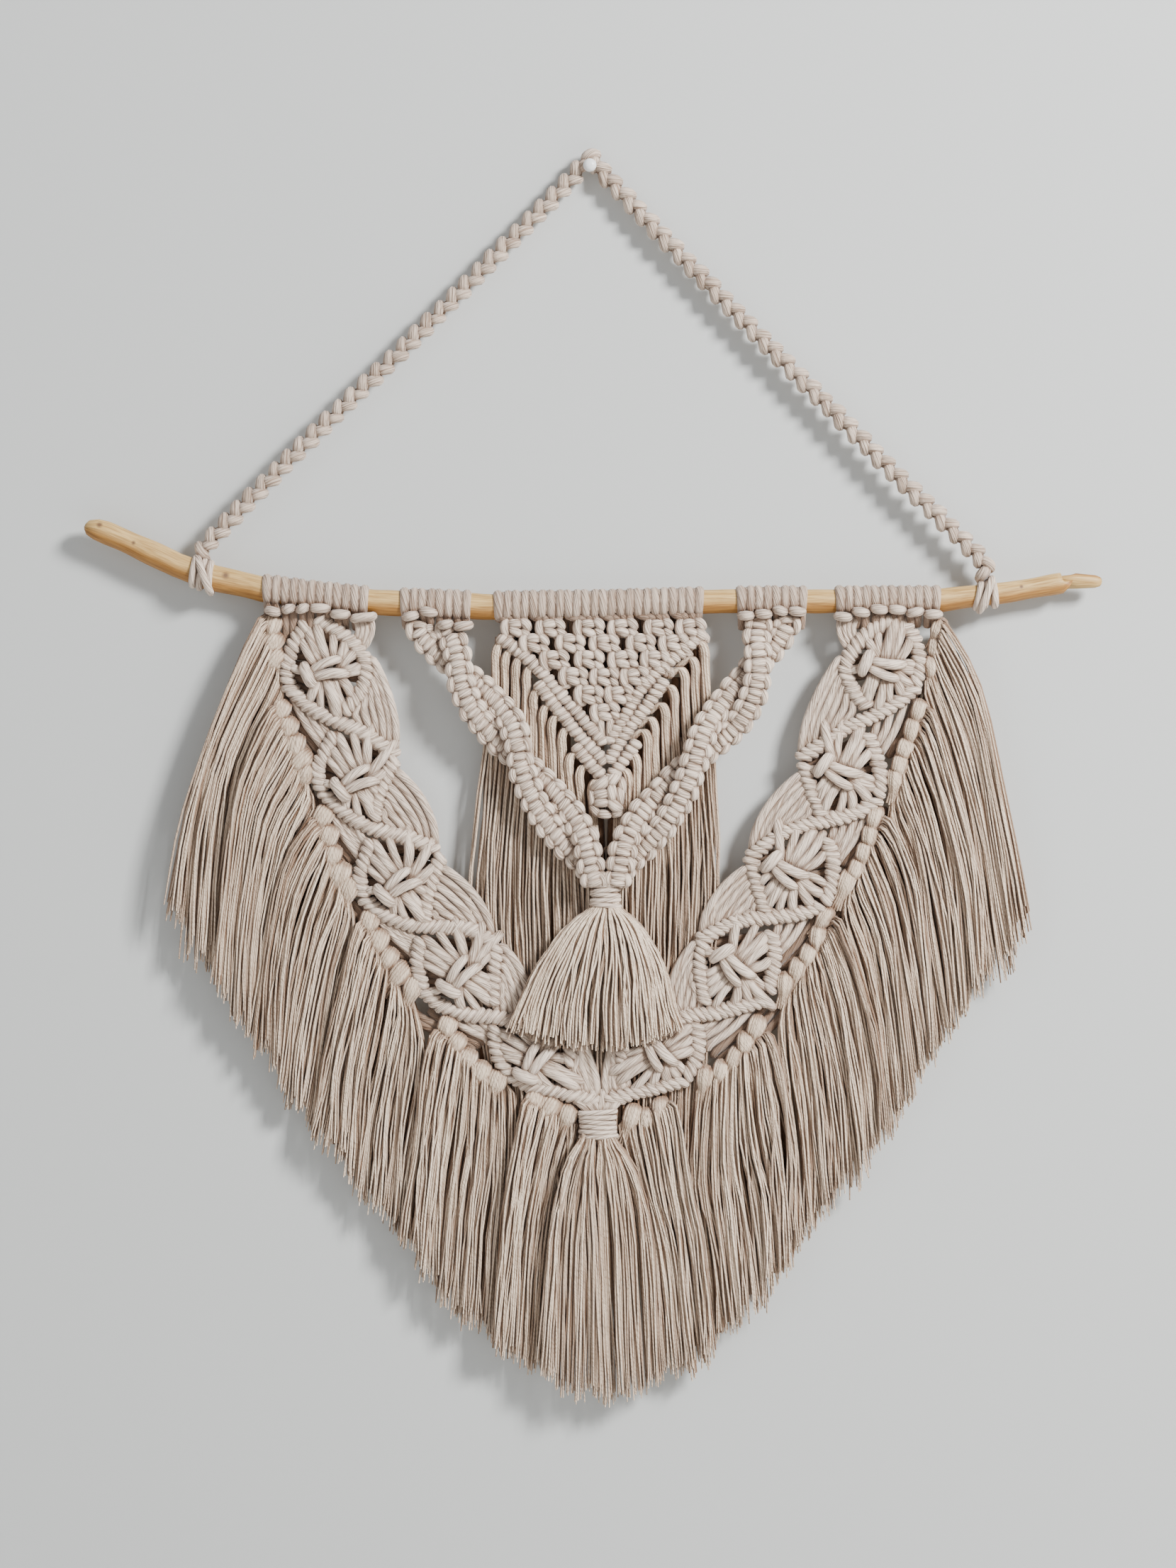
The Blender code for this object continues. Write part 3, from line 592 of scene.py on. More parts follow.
HANGER_ROUTE = (
    # x, z, y
    (-217.6, -220.5, -13.0),
    (-217.4, -216.5, -13.0),
    (-213.0, -210.5, -12.9),
    (-171.5, -167.5, -11.8),
    (-129.0, -126.0, -10.4),
    (-86.5, -84.3, -9.2),
    (-44.5, -41.5, -8.0),
    (-22.5, -19.3, -7.3),
    (-11.0, -7.2, -6.8),
    (-5.2, -0.5, -6.5),
    (-3.2, 3.9, -6.5),
    (0.0, 5.25, -6.5),
    (3.2, 3.9, -6.5),
    (5.2, -0.5, -6.5),
    (11.0, -7.2, -6.8),
    (22.8, -19.6, -7.3),
    (45.5, -43.8, -8.0),
    (88.5, -88.5, -9.2),
    (131.8, -132.5, -10.4),
    (175.0, -176.5, -11.8),
    (218.6, -219.5, -12.9),
    (223.2, -227.5, -13.0),
    (223.4, -232.5, -13.0),
)
hanger_route = through([Vector((x, y, z)) * MM for x, z, y in HANGER_ROUTE], 4)
chance = random.Random(3)
braid = looped_braid(hanger_route, HANGER_KNOT, HANGER_LOOP, HANGER_CORD, chance)
hanger = cords("hanger_braid", braid, CORD, 8)
hung(hanger, "cotton_cord", "hanger_cord")
hanger_length = along_route(hanger_route)[0]


# ---------------------------------------------------------------- The hanger's ties
# Each end of the hanger is wound three times round the branch and drawn up tight, and a fourth turn
# crosses over those.
TIE_CORD = 2.15 * MM


def round_branch(x, first, last, radius, lean=0.0, count=16, squeeze=0.9):
    """A turn over the branch between two angles in degrees; 0 is the front and 90 the top."""
    angles = np.radians(np.linspace(first, last, count))
    middle, thick = branch_at(x)
    reach = thick + radius * squeeze
    route = np.tile(middle, (count, 1))
    route[:, 0] += lean * np.sin(angles)
    route[:, 1] -= reach * np.cos(angles)
    route[:, 2] += reach * np.sin(angles)
    return route


TIES = {
    # turns from left to right: x, lean, squeeze
    "left": ((-223.0, 1.2, 0.2), (-218.8, 1.6, 0.2), (-214.4, 0.6, 0.2), (-217.5, -3.6, 1.3)),
    "right": ((219.4, 1.5, 0.2), (223.6, 1.1, 0.2), (227.8, -0.8, 0.2), (223.4, 3.4, 1.3)),
}
for side, turns in TIES.items():
    turned = [
        (round_branch(x * MM, -178, 182, TIE_CORD, lean * MM, 26, squeeze), TIE_CORD, 0.92)
        for x, lean, squeeze in turns
    ]
    tie = cords(f"tie_{side}_turns", turned, CORD, 10)
    hung(tie, "cotton_cord", f"hanger_tie_{side}")


# ---------------------------------------------------------------- The rows on the branch
# Every hanging cord is folded in two and set on the branch with a lark's head, two turns over the
# wood side by side. Outside the panel the fold shows as a short bar in front of its two turns.
MOUNT_PITCH = 4.9 * MM
MOUNTS = {
    # x of the row's left end, turns
    "garland_mount_left": (-184.0, 12),
    "band_mount_left": (-106.6, 8),
    "panel_mount": (-53.8, 24),
    "band_mount_right": (83.0, 8),
    "garland_mount_right": (138.6, 12),
}
FOLDS = {
    # left end, right end, height of each bar
    "garland_mount_left": (
        (-182.8, -173.6, -252.2),
        (-173.6, -165.6, -250.8),
        (-165.6, -157.6, -250.6),
        (-157.6, -146.0, -250.4),
        (-146.0, -134.8, -253.8),
        (-134.8, -119.8, -255.6),
    ),
    "band_mount_left": (
        (-105.6, -96.0, -254.8),
        (-96.0, -85.6, -252.4),
        (-85.6, -76.8, -259.6),
        (-76.8, -65.6, -260.4),
    ),
    "band_mount_right": (
        (83.2, 92.6, -254.6),
        (92.8, 102.6, -253.6),
        (102.8, 111.6, -251.8),
        (111.6, 121.6, -252.2),
    ),
    "garland_mount_right": (
        (137.4, 147.5, -255.2),
        (147.5, 157.6, -252.6),
        (157.6, 167.8, -251.0),
        (167.8, 178.0, -251.2),
        (178.0, 188.0, -252.6),
        (188.0, 198.4, -253.8),
    ),
}
# Where the panel's cords meet in fours, over the first knots of its net.
NET_TOP = (
    (-41.6, -256.2),
    (-22.0, -256.4),
    (-0.4, -256.4),
    (18.4, -256.4),
    (38.8, -256.2),
    (56.8, -256.0),
)
# Under these rows four cords bow out beside the garland's first motif: x, and the way they bow.
TOP_LOOPS = {"garland_mount_left": (-134.0, 1), "garland_mount_right": (152.0, -1)}
GAP_CORD = 1.9 * MM
TURN_FROM, TURN_TO = -62, 262  # degrees round the branch: up its front, over it and down its back
GAP_FROM, GAP_TO = -40, 240
chance = random.Random(21)
for row, (first, turns) in MOUNTS.items():
    lines = []
    for turn in range(turns):
        x = first * MM + (turn + 0.5) * MOUNT_PITCH + chance.uniform(-0.2, 0.2) * MM
        lean = (0.45 if turn % 2 else -0.45) * MM
        radius = chance.uniform(2.75, 2.95) * MM
        over = round_branch(x, TURN_FROM, TURN_TO, radius, lean, 18, -0.18)
        if row == "panel_mount":
            foot_x, foot_z = NET_TOP[turn // 4]
            foot = np.array((foot_x + (turn % 4 - 1.5) * 2.9, -15.6, foot_z)) * MM
        else:
            low = -268.0 if -172.0 < x / MM < -140.0 or 152.0 < x / MM < 184.0 else -259.5
            foot = np.array((x / MM - 900.0 * lean, -12.0, low - chance.uniform(0.0, 2.0))) * MM
        knee = over[0] * 0.45 + foot * 0.55 + np.array((0.0, -1.2, 0.0)) * MM
        route = through([foot, knee, *over], 2)
        run = np.linspace(0.0, 1.0, len(route))
        # Painted shade: each turn is kept dim, and darkest at its foot, where it goes under.
        tone = chance.uniform(0.42, 0.62) * np.interp(run, (0.0, 0.10, 0.18), (0.2, 0.5, 1.0))
        lines.append((route, radius * np.interp(run, (0.0, 0.14), (0.8, 1.0)), tone))
        # A thin cord in each gap between two turns, painted dark as the shade there.
        if turn < turns - 1:
            gap = x + 0.5 * MOUNT_PITCH
            lines.append((round_branch(gap, GAP_FROM, GAP_TO, GAP_CORD, 0.0, 12, -0.3), GAP_CORD, 0.3))
    for left, right, z in FOLDS.get(row, ()):
        middle, thick = branch_at(0.5 * (left + right) * MM)
        front = middle[1] / MM - thick / MM * 0.72 - 4.0
        slope = chance.uniform(-0.7, 0.7)
        bar = [
            (left + 2.6, front + 4.6, z + 1.2 - slope),
            (left + 2.0, front + 1.8, z + 0.2 - slope),
            (left + 3.4, front + 0.3, z - 0.6 * slope),
            (0.5 * (left + right), front - 0.4, z),
            (right - 3.4, front + 0.3, z + 0.6 * slope),
            (right - 2.0, front + 1.8, z + 0.2 + slope),
            (right - 2.6, front + 4.6, z + 1.2 + slope),
        ]
        swell, tone = plump((len(bar) - 1) * 3 + 1, chance.uniform(0.94, 1.0), 0.66)
        lines.append(strand(bar, 3, 2.6 * swell, 0.74 * tone))
    if row in TOP_LOOPS:
        x, hand = TOP_LOOPS[row]
        for cord in range(4):
            loop = (
                (x + hand * (1.0 + 2.6 * cord), -15.0, -255.5),
                (x + hand * (3.0 + 2.8 * cord), -16.4, -259.0),
                (x + hand * (3.2 + 2.4 * cord), -16.0, -264.0 - 0.8 * cord),
                (x + hand * (0.6 + 1.6 * cord), -14.6, -268.5 - 1.6 * cord),
                (x - 2.0 * hand, -12.6, -271.0),
            )
            lines.append(strand(loop, 4, 1.7, chance.uniform(0.8, 0.95)))
    mount = cords(f"{row}_turns", lines, CORD, 10)
    hung(mount, "cotton_cord", row)


# ---------------------------------------------------------------- The centre panel
# A triangular net of square knots, each tied with the outer two of four cords, two of them from
# each of the knots above it. The cords cross the small gaps between the knots, and thick cords
# behind them, painted dark as the shadow there, close the gaps.
KNOT_Y = -15.2
# Painted shadow: the dark shades given to the cords laid behind the others, so that the gaps in front
# of them look deep in shade.
PAINTED_SHADOW, PAINTED_SHADOW_LIGHTER = 0.10, 0.12  # shades of the cords that lie behind the others
NET = (
    # z of a row, and x of its knots
    (-261.4, (-41.6, -22.0, -0.4, 18.4, 38.8, 56.8)),
    (-269.8, (-31.2, -11.0, 8.2, 28.8, 47.4)),
    (-279.2, (-20.0, -0.4, 18.6, 37.0)),
    (-288.9, (-9.0, 8.4, 25.2)),
    (-298.8, (-0.4, 16.6)),
    (-308.6, (8.6,)),
)
KNOT_LENGTH, KNOT_HALF, KNOT_CORD = 9.8 * MM, 8.4 * MM, 2.4 * MM
NET_CORD, NET_TAIL, NET_BACKING = 2.1, 2.3, 2.7  # radii, mm
chance = random.Random(31)
lines = []
for level, (z, row) in enumerate(NET):
    for x in row:
        tilt = chance.uniform(-0.6, 0.6)
        _, place = along_route(at(((x - tilt, z + 4.8), (x, z), (x + tilt, z - 4.8)), KNOT_Y))
        lines += square_knot(place, KNOT_LENGTH / 2, KNOT_LENGTH, KNOT_HALF, KNOT_CORD, -1, chance, 4)
        below_z, below = NET[level + 1] if level + 1 < len(NET) else (z - 12.0, (x,))
        for hand in (-1, 1):
            near = [other for other in below if 0 < (other - x) * hand < 14.0]
            target = near[0] - hand * 3.4 if near else x + hand * 7.4
            for inner in (0.0, 2.9):
                start = x + hand * (5.2 - inner)
                reach = [
                    (start, KNOT_Y + 1.2, z - 2.0),
                    (start + hand * 0.8, KNOT_Y - 0.6, z - 4.6),
                    (target + hand * (inner - 1.6), KNOT_Y + 0.2, below_z + 3.6),
                    (target + hand * (inner - 1.6), KNOT_Y + 1.6, below_z + 1.0),
                ]
                # The cords between the knots lie deeper, and are painted in more shade than the knots.
                lines.append(strand(reach, 3, NET_CORD, chance.uniform(0.55, 0.8)))
for x, foot in ((6.2, 7.6), (11.2, 11.4)):
    tail = [(x + 0.5, KNOT_Y - 0.8, -310.0), (x, KNOT_Y - 1.6, -317.0), (foot, KNOT_Y + 0.4, -326.5)]
    lines.append(strand(tail, 4, NET_TAIL, 0.9))
for number in range(21):
    x = -45.5 + 5.1 * number
    foot = -262.0 - 1.17 * (x + 52.0) if x < 8.5 else -262.0 - 1.17 * (64.0 - x)
    waist = (x + 0.8, KNOT_Y + 6.0, 0.5 * (foot - 254.0))
    behind = [(x, KNOT_Y + 5.4, -254.0), waist, (x, KNOT_Y + 5.4, foot)]
    lines.append(strand(behind, 4, NET_BACKING, PAINTED_SHADOW))
net = cords("net_of_knots", lines, CORD, 8)
hung(net, "cotton_cord", "centre_panel")


# ---------------------------------------------------------------- The V rows
# Three rows of double half hitches close the net: every cord is wound twice over a holding cord
# that runs down each side to the tip, so a row shows as a string of small slanting ridges.
def hitches(route, half, depth, pitch, radius, lean, chance, steps=13):
    """The turns of a row of half hitches, side by side down the route of its holding cord."""
    run, place = along_route(route)
    count = max(2, round(run / pitch))
    angles = np.radians(np.linspace(-180.0, 180.0, steps))
    found = []
    for number in range(count):
        down = (number + 0.5) * run / count + chance.uniform(-0.03, 0.03) * pitch
        wide = half * chance.uniform(0.94, 1.05)
        tilt = (lean + chance.uniform(-0.12, 0.12)) * pitch
        turn = np.stack(
            (
                down + tilt * np.sin(angles) * np.cos(angles / 2),
                (wide - radius) * np.sin(angles),
                (depth - radius) * np.cos(angles) * chance.uniform(0.94, 1.08),
            ),
            axis=1,
        )
        face = np.maximum(0.0, np.cos(angles / 2))
        swell = (0.78 + 0.34 * face) * chance.uniform(0.94, 1.06)
        # Painted shade: each turn is lightest on its front and darkens round its sides to its back.
        tone = chance.uniform(0.88, 1.0) * (0.45 + 0.55 * face**0.6)
        found.append((place(turn), radius * swell, tone))
    return found


V_ROWS = (
    # left arm, then right arm, from the outer end to the tip
    (
        ((-51, -266), (-39, -275), (-29, -284), (-19, -296), (-9, -307), (1, -318), (8.5, -326.5)),
        ((63, -264), (53, -273), (43, -281), (35, -289), (27, -298), (21, -309), (10.5, -326)),
    ),
    (
        ((-29, -292), (-21, -303), (-13, -313), (-5, -323), (3, -331), (8.5, -337.5)),
        ((42, -290), (35, -301), (29, -309), (21, -319), (10.5, -337)),
    ),
    (
        ((-8, -327), (-1, -336), (5, -343), (9, -348.0)),
        ((27, -325), (21, -333), (10.5, -347.5)),
    ),
)
V_HALF, V_DEPTH, V_PITCH, V_CORD = 4.2 * MM, 4.0 * MM, 3.8 * MM, 2.2 * MM
chance = random.Random(41)
for number, arms in enumerate(V_ROWS, 1):
    lines = []
    for arm, lean in zip(arms, (0.16, -0.16)):
        route = through(at(arm, KNOT_Y - 0.2), 4)
        lines += hitches(route, V_HALF, V_DEPTH, V_PITCH, V_CORD, lean, chance)
        # The holding cord inside the turns is painted in shade.
        lines.append((route, V_CORD, 0.6))
    v_row = cords(f"v_row_{number}_hitches", lines, CORD, 8)
    hung(v_row, "cotton_cord", f"v_row_{number}")


# ---------------------------------------------------------------- The berry knot
# A short braid under the tip, rolled up on itself and drawn tight into two lobes, with a pair of
# cords out of the bottom of it.
BERRY = (9.6, -356.8)
BERRY_HUMPS = (
    # from x, z to x, z beside its middle, radius
    (-6.4, 5.4, 0.2, 9.6, 3.1),
    (1.2, 7.8, 5.6, 12.4, 3.0),
    (8.2, 10.2, 8.8, 3.6, 2.3),
    (-8.2, 3.6, -8.2, -4.4, 1.9),
    (-6.0, 1.4, 0.2, 2.2, 2.8),
    (-6.0, -3.0, 0.0, -2.8, 2.6),
    (-8.0, -5.4, -5.2, -9.0, 2.4),
    (-4.2, -9.0, 1.0, -9.6, 2.5),
    (2.4, 6.0, 3.0, -1.0, 2.9),
    (7.0, 4.0, 7.2, -2.4, 2.7),
    (2.0, -2.4, 6.8, -7.0, 3.1),
    (4.0, -9.4, 8.4, -8.2, 2.4),
)
chance = random.Random(51)
lines = []
for x0, z0, x1, z1, radius in BERRY_HUMPS:
    route = []
    for share, lift in ((-0.12, -2.6), (0.1, -0.6), (0.5, 0.7), (0.9, -0.6), (1.12, -2.6)):
        x, z = x0 + (x1 - x0) * share, z0 + (z1 - z0) * share
        ball = math.sqrt(max(0.02, 1.0 - (x / 11.5) ** 2 - (z / 14.5) ** 2))
        route.append((BERRY[0] + x, KNOT_Y + 1.0 - 6.4 * ball - lift, BERRY[1] + z))
    swell, tone = plump(13, chance.uniform(0.88, 1.0), 0.7)
    lines.append(strand(route, 3, radius * swell, tone))
# Two cords behind the lobes, painted in shade.
for lobe in (-1, 1):
    x, z = BERRY[0] + lobe * 3.4, BERRY[1]
    back = [(x, KNOT_Y + 0.5, z + 10.0), (x + lobe, KNOT_Y + 2.6, z), (x - 1.0, KNOT_Y + 0.5, z - 9.0)]
    lines.append(strand(back, 4, 3.6, 0.5))
berry = cords("berry_knot_cords", lines, CORD, 10)
hung(berry, "cotton_cord", "berry_knot")


# ---------------------------------------------------------------- The centre fringe
# Under the V rows the net's cords hang in a curtain behind the bands, each a bundle of its own at
# the top and combed out into yarns below. Single yarns hang loose between the bundles, and thick
# cords behind them, painted dark as the shadow there, close the gaps.
# The combed yarns' own pale colour and the dark of their painted shade; tan is the painted shade in
# their grooves, and their sides, which the yarns beside them cover, get painted shade too.
PALE, DARK = (1.0, 0.815, 0.625), (0.15, 0.064, 0.024)
COMBED = cotton("combed_cotton", 1300.0, 0.9, 0.012, PALE, DARK, TAN, 0.5, 0.22 * MM, 0.28)
CURTAIN_Y = -9.2
BUNDLE_YARNS, LOOSE_YARNS, CURTAIN_BACKING = 9, 96, 11
CURTAIN_BACKING_CORD = 3.0
CURTAIN = {
    # tops of the cords, then the curtain's outer edge down to its foot; last the inner edge
    "left": (
        ((-51, -272), (-46, -276), (-40, -280), (-34, -285), (-30, -298), (-25, -307), (-20, -313),
            (-14, -320), (-10, -334), (-4, -341), (3, -349)),
        ((-55, -302), (-60, -350), (-64, -400), (-62, -450), (-54, -505), (-48, -598)),
        7.0,
    ),
    "right": (
        ((63, -271), (58, -280), (52, -286), (46, -296), (41, -306), (35, -314), (31, -321), (25, -334),
            (20, -343), (15, -350)),
        ((66, -300), (69, -350), (70, -400), (66, -450), (60, -505), (57, -602)),
        11.0,
    ),
}
chance = random.Random(91)
for side, (tops, edge, inner_x) in CURTAIN.items():
    hand = 1 if side == "left" else -1
    lines = []
    edge = np.array(edge, float)
    for number, (x, z) in enumerate(tops):
        share = number / (len(tops) - 1)
        heights = np.array([z - 14.0, z - 40.0, -400.0, -450.0, -505.0, -600.0 - 2.0 * chance.random()])
        outer_x = np.interp(-heights, -edge[:, 1], edge[:, 0])
        places = outer_x + (inner_x - outer_x) * share
        places = x - 1.6 * hand + (places - x) * np.array((0.10, 0.45, 0.9, 1.0, 1.0, 1.0))
        y = CURTAIN_Y - chance.uniform(0.0, 1.2)
        spine = [
            (x + 8.0 * hand, y - 1.8, z - 3.0),
            (x + 3.8 * hand, y - 3.4, z + 0.6),
            (x + 0.4 * hand, y - 4.6, z + 1.6),
            (x - 1.8 * hand, y - 4.4, z - 3.6),
        ]
        for level, (place, height) in enumerate(zip(places, heights)):
            spine.append((place, y - 2.0 + 0.4 * level, height))
        spine = through(np.array(spine), 4)
        fall = np.concatenate(([0.0], np.cumsum(np.linalg.norm(np.diff(spine, axis=0), axis=1))))
        for yarn in range(BUNDLE_YARNS):
            spread = chance.uniform(0.8, 1.4)
            opening = (1.5, 1.8, 2.0, 3.0 * spread, 3.5 * spread)
            reach = np.interp(fall, (0.0, 10.0, 40.0, 110.0, 330.0), opening)
            twist = np.interp(fall, (0.0, 60.0, 330.0), (0.0, 1.3, 2.2))
            angle = 2 * math.pi * yarn / BUNDLE_YARNS + twist + number
            route = spine + np.stack((np.cos(angle), np.sin(angle), 0 * angle), axis=1) * reach[:, None]
            loose = np.minimum(1.0, fall / 110.0)
            for rate, size in ((chance.uniform(0.02, 0.04), 0.9), (chance.uniform(0.08, 0.16), 0.35)):
                route[:, 0] += size * np.sin(rate * fall + 6.3 * chance.random()) * loose
            rate = chance.uniform(0.02, 0.05)
            route[:, 1] += 1.2 * np.sin(rate * fall + 6.3 * chance.random()) * loose
            # Painted shade: the yarns grow darker lower down.
            fading = np.interp(fall, (0.0, 30.0, 120.0, 330.0), (1.0, 1.0, 0.8, 0.55))
            tone = fading * chance.uniform(0.6, 1.0)
            radius = np.interp(fall, (0.0, 40.0, 120.0), (1.15, 1.0, 0.7)) * chance.uniform(0.9, 1.05)
            lines.append((route * MM, radius * MM, tone))
    for number in range(LOOSE_YARNS):
        share = (number + chance.random()) / LOOSE_YARNS
        top = min(len(tops) - 1.001, share * (len(tops) - 1))
        x_top, z_top = (np.interp(top, range(len(tops)), np.array(tops)[:, axis]) for axis in (0, 1))
        y = CURTAIN_Y + chance.uniform(-3.6, 1.5)
        heights = np.array((z_top - 34.0, 0.5 * z_top - 215.0, -430.0, -470.0, -520.0, -600.0))
        outer_x = np.interp(-heights, -edge[:, 1], edge[:, 0])
        stray = np.array([chance.gauss(0.0, 1.5) for _ in heights])
        places = outer_x + (inner_x - outer_x) * share + stray
        places[0] = 0.5 * places[0] + 0.5 * (x_top - 1.6 * hand)
        free = through(np.stack((places, np.full(len(heights), y), heights), axis=1), 3)
        run = np.linspace(0.0, 1.0, len(free))
        size, rate = chance.uniform(0.3, 1.0), chance.uniform(5, 14)
        free[:, 0] += size * np.sin(rate * run + 6.3 * chance.random())
        # Painted shade: each loose yarn grows darker towards its foot.
        tone = chance.uniform(0.5, 1.0) * np.interp(run, (0.0, 1.0), (1.0, 0.8))
        lines.append((free * MM, chance.uniform(0.62, 0.8) * MM, tone))
    for number in range(CURTAIN_BACKING):
        share = number / (CURTAIN_BACKING - 1)
        x_foot = np.interp(-450.0, edge[::-1, 1], edge[::-1, 0]) * (1 - share) + inner_x * share
        x_top = tops[0][0] * (1 - share) + tops[-1][0] * share
        z_top = tops[0][1] * (1 - share) + tops[-1][1] * share
        behind = (
            (x_top, CURTAIN_Y + 3.4, z_top + 6.0),
            (0.4 * x_top + 0.6 * x_foot, CURTAIN_Y + 3.8, -372.0),
            (x_foot, CURTAIN_Y + 4.0, -450.0),
            (x_foot * 0.9, CURTAIN_Y + 4.0, -590.0),
        )
        lines.append(strand(behind, 3, CURTAIN_BACKING_CORD, PAINTED_SHADOW_LIGHTER))
    curtain = cords(f"centre_fringe_{side}_yarns", lines, COMBED, 5)
    hung(curtain, "combed_cotton", f"centre_fringe_{side}")


# ---------------------------------------------------------------- The twisted bands
# Two flat braids of square knots on each side hang from the branch, pass over and under each other
# twice, and come together under the panel.
BAND_AXIS = {
    # x, z, y of the axis, how far each braid is from it, half turns so far
    "left": (
        (-87.0, -259.0, -15.0, 7.8, 0.00),
        (-87.0, -264.5, -16.5, 8.2, 0.03),
        (-73.5, -285.0, -19.2, 8.8, 0.50),
        (-55.0, -311.0, -20.6, 8.8, 1.00),
        (-39.0, -336.0, -21.6, 8.8, 1.50),
        (-16.0, -370.0, -22.4, 8.8, 2.00),
        (-3.0, -391.0, -22.4, 6.6, 2.35),
        (1.8, -399.5, -22.4, 1.6, 2.48),
        (3.2, -407.0, -22.4, 0.6, 2.50),
    ),
    "right": (
        (102.5, -256.0, -15.0, 7.8, 0.00),
        (102.5, -261.5, -16.5, 7.8, 0.04),
        (95.0, -281.0, -19.2, 8.4, 0.50),
        (78.0, -311.0, -20.6, 8.8, 1.00),
        (59.0, -336.0, -21.6, 8.8, 1.50),
        (34.0, -371.0, -22.4, 8.8, 2.00),
        (20.5, -391.0, -22.4, 6.6, 2.35),
        (16.0, -399.5, -22.4, 1.6, 2.48),
        (14.6, -407.0, -22.4, 0.6, 2.50),
    ),
}
BAND_LIFT = 4.0
BRAID_HALF, BRAID_KNOT, BRAID_CORD = 6.6 * MM, 8.2 * MM, 2.15 * MM
chance = random.Random(61)
for side, axis in BAND_AXIS.items():
    x, z, y, apart, turn = through(axis, 4).T
    hand = 1.0 if side == "left" else -1.0
    for braid, start in (("outer", 1.0), ("inner", 0.0)):
        phase = math.pi * (turn + start)
        shift, lift = apart * np.cos(phase) * hand, BAND_LIFT * np.sin(phase)
        route = np.stack((x + shift, y - lift, z), axis=1) * MM
        lines = sinnet(route, BRAID_KNOT, BRAID_HALF, BRAID_CORD, -hand, chance, 3)
        band = cords(f"band_{side}_{braid}_braid", lines, CORD, 8)
        hung(band, "cotton_cord", f"band_{side}_{braid}")


# ---------------------------------------------------------------- The garland
# Ten star motifs hang from each other in two curves that meet at the bottom. A motif has a knotted
# rail down each side and a row of hitches along its foot. Its cords fan in from the rails to one
# big square knot in the middle and out again to the row, and the next motif hangs from that row.
# Behind each star, thick cords painted dark as the shadow there close the gaps.
RAIL_HALF, RAIL_DEPTH, RAIL_PITCH, RIDGE = 4.9 * MM, 4.4 * MM, 3.9 * MM, 2.2 * MM
RAIL_CORD = 2.4 * MM
EAR_CORD, STAR_BACKING, SWAG_CORD = 3.3, 2.9, 2.5  # radii, mm
STAR_Y = -15.2
MOTIFS = {
    # the rail at the fringe's side, the rail at the inner side, the row at the foot, the middle
    "left": (
        (
            ((-160, -259), (-166, -269), (-171, -282), (-170, -293)),
            ((-154, -256), (-141, -264), (-130, -274), (-126, -284), (-129, -297), (-139, -308)),
            ((-170, -294), (-161, -303), (-149, -311), (-133, -318), (-121, -325), (-110, -333)),
            (-146, -285),
        ),
        (
            ((-144, -322), (-149, -331), (-154, -342), (-151, -353)),
            ((-110, -334), (-114, -343), (-119, -355), (-122, -369)),
            ((-150, -354), (-143, -361), (-131, -370), (-117, -376), (-101, -380), (-87, -387)),
            (-129, -347),
        ),
        (
            ((-123, -382), (-127, -393), (-130, -403), (-127, -413)),
            ((-84, -389), (-88, -401), (-92, -413), (-93, -427)),
            ((-127, -414), (-117, -422), (-103, -428), (-85, -430), (-69, -431), (-55, -438)),
            (-105, -405),
        ),
        (
            ((-95, -437), (-97, -450), (-95, -464)),
            ((-53, -440), (-54, -456), (-55, -473)),
            ((-93, -466), (-84, -474), (-69, -479), (-51, -481), (-34, -487)),
            (-71, -455),
        ),
        (
            ((-53, -486), (-53, -496), (-50, -506), (-45, -513)),
            ((-9, -494), (-13, -507)),
            ((-44, -514), (-34, -519), (-17, -523), (4, -529)),
            (-29, -503),
        ),
    ),
    "right": (
        (
            ((177, -259), (183, -268), (186, -281), (183, -293)),
            ((170, -257), (157, -264), (148, -274), (144, -284), (148, -296), (157, -306)),
            ((183, -295), (172, -304), (159, -311), (144, -318), (132, -326), (119, -335)),
            (168, -284),
        ),
        (
            ((156, -321), (160, -330), (164, -344), (162, -356)),
            ((121, -338), (123, -347), (127, -358), (131, -367)),
            ((162, -358), (153, -364), (141, -368), (127, -371), (111, -376), (101, -382), (91, -390)),
            (143, -344),
        ),
        (
            ((133, -380), (137, -393), (136, -406), (132, -416)),
            ((91, -391), (94, -405), (99, -421)),
            ((131, -418), (119, -422), (103, -424), (87, -426), (75, -430), (63, -437)),
            (113, -400),
        ),
        (
            ((102, -433), (104, -447), (101, -466)),
            ((64, -438), (62, -452), (65, -473)),
            ((98, -471), (87, -474), (71, -478), (57, -480), (45, -483)),
            (83, -454),
        ),
        (
            ((60, -484), (61, -496), (59, -507), (54, -514)),
            ((18, -495), (18, -508)),
            ((53, -516), (39, -520), (26, -523), (10, -528)),
            (40, -502),
        ),
    ),
}
CARRIED = {
    # the cords that run from under a foot row to the next fringe, outside the next motif: start and
    # end of the outermost, start and end of the innermost, and how many there are; three more,
    # painted dark as shadow, lie beyond the outermost
    "left": (
        ((-167, -302), (-149, -330), (-152, -313), (-141, -327), 3),
        ((-147, -362), (-131, -389), (-132, -370), (-123, -386), 4),
        ((-122, -421), (-101, -444), (-104, -429), (-93, -441), 4),
        ((-80, -480), (-59, -492), (-62, -481), (-53, -489), 3),
    ),
    "right": (
        ((177, -305), (166, -329), (162, -313), (157, -326), 3),
        ((155, -368), (142, -390), (138, -371), (134, -383), 4),
        ((121, -425), (106, -445), (107, -427), (101, -438), 3),
        ((89, -478), (68, -496), (72, -481), (61, -488), 3),
    ),
}
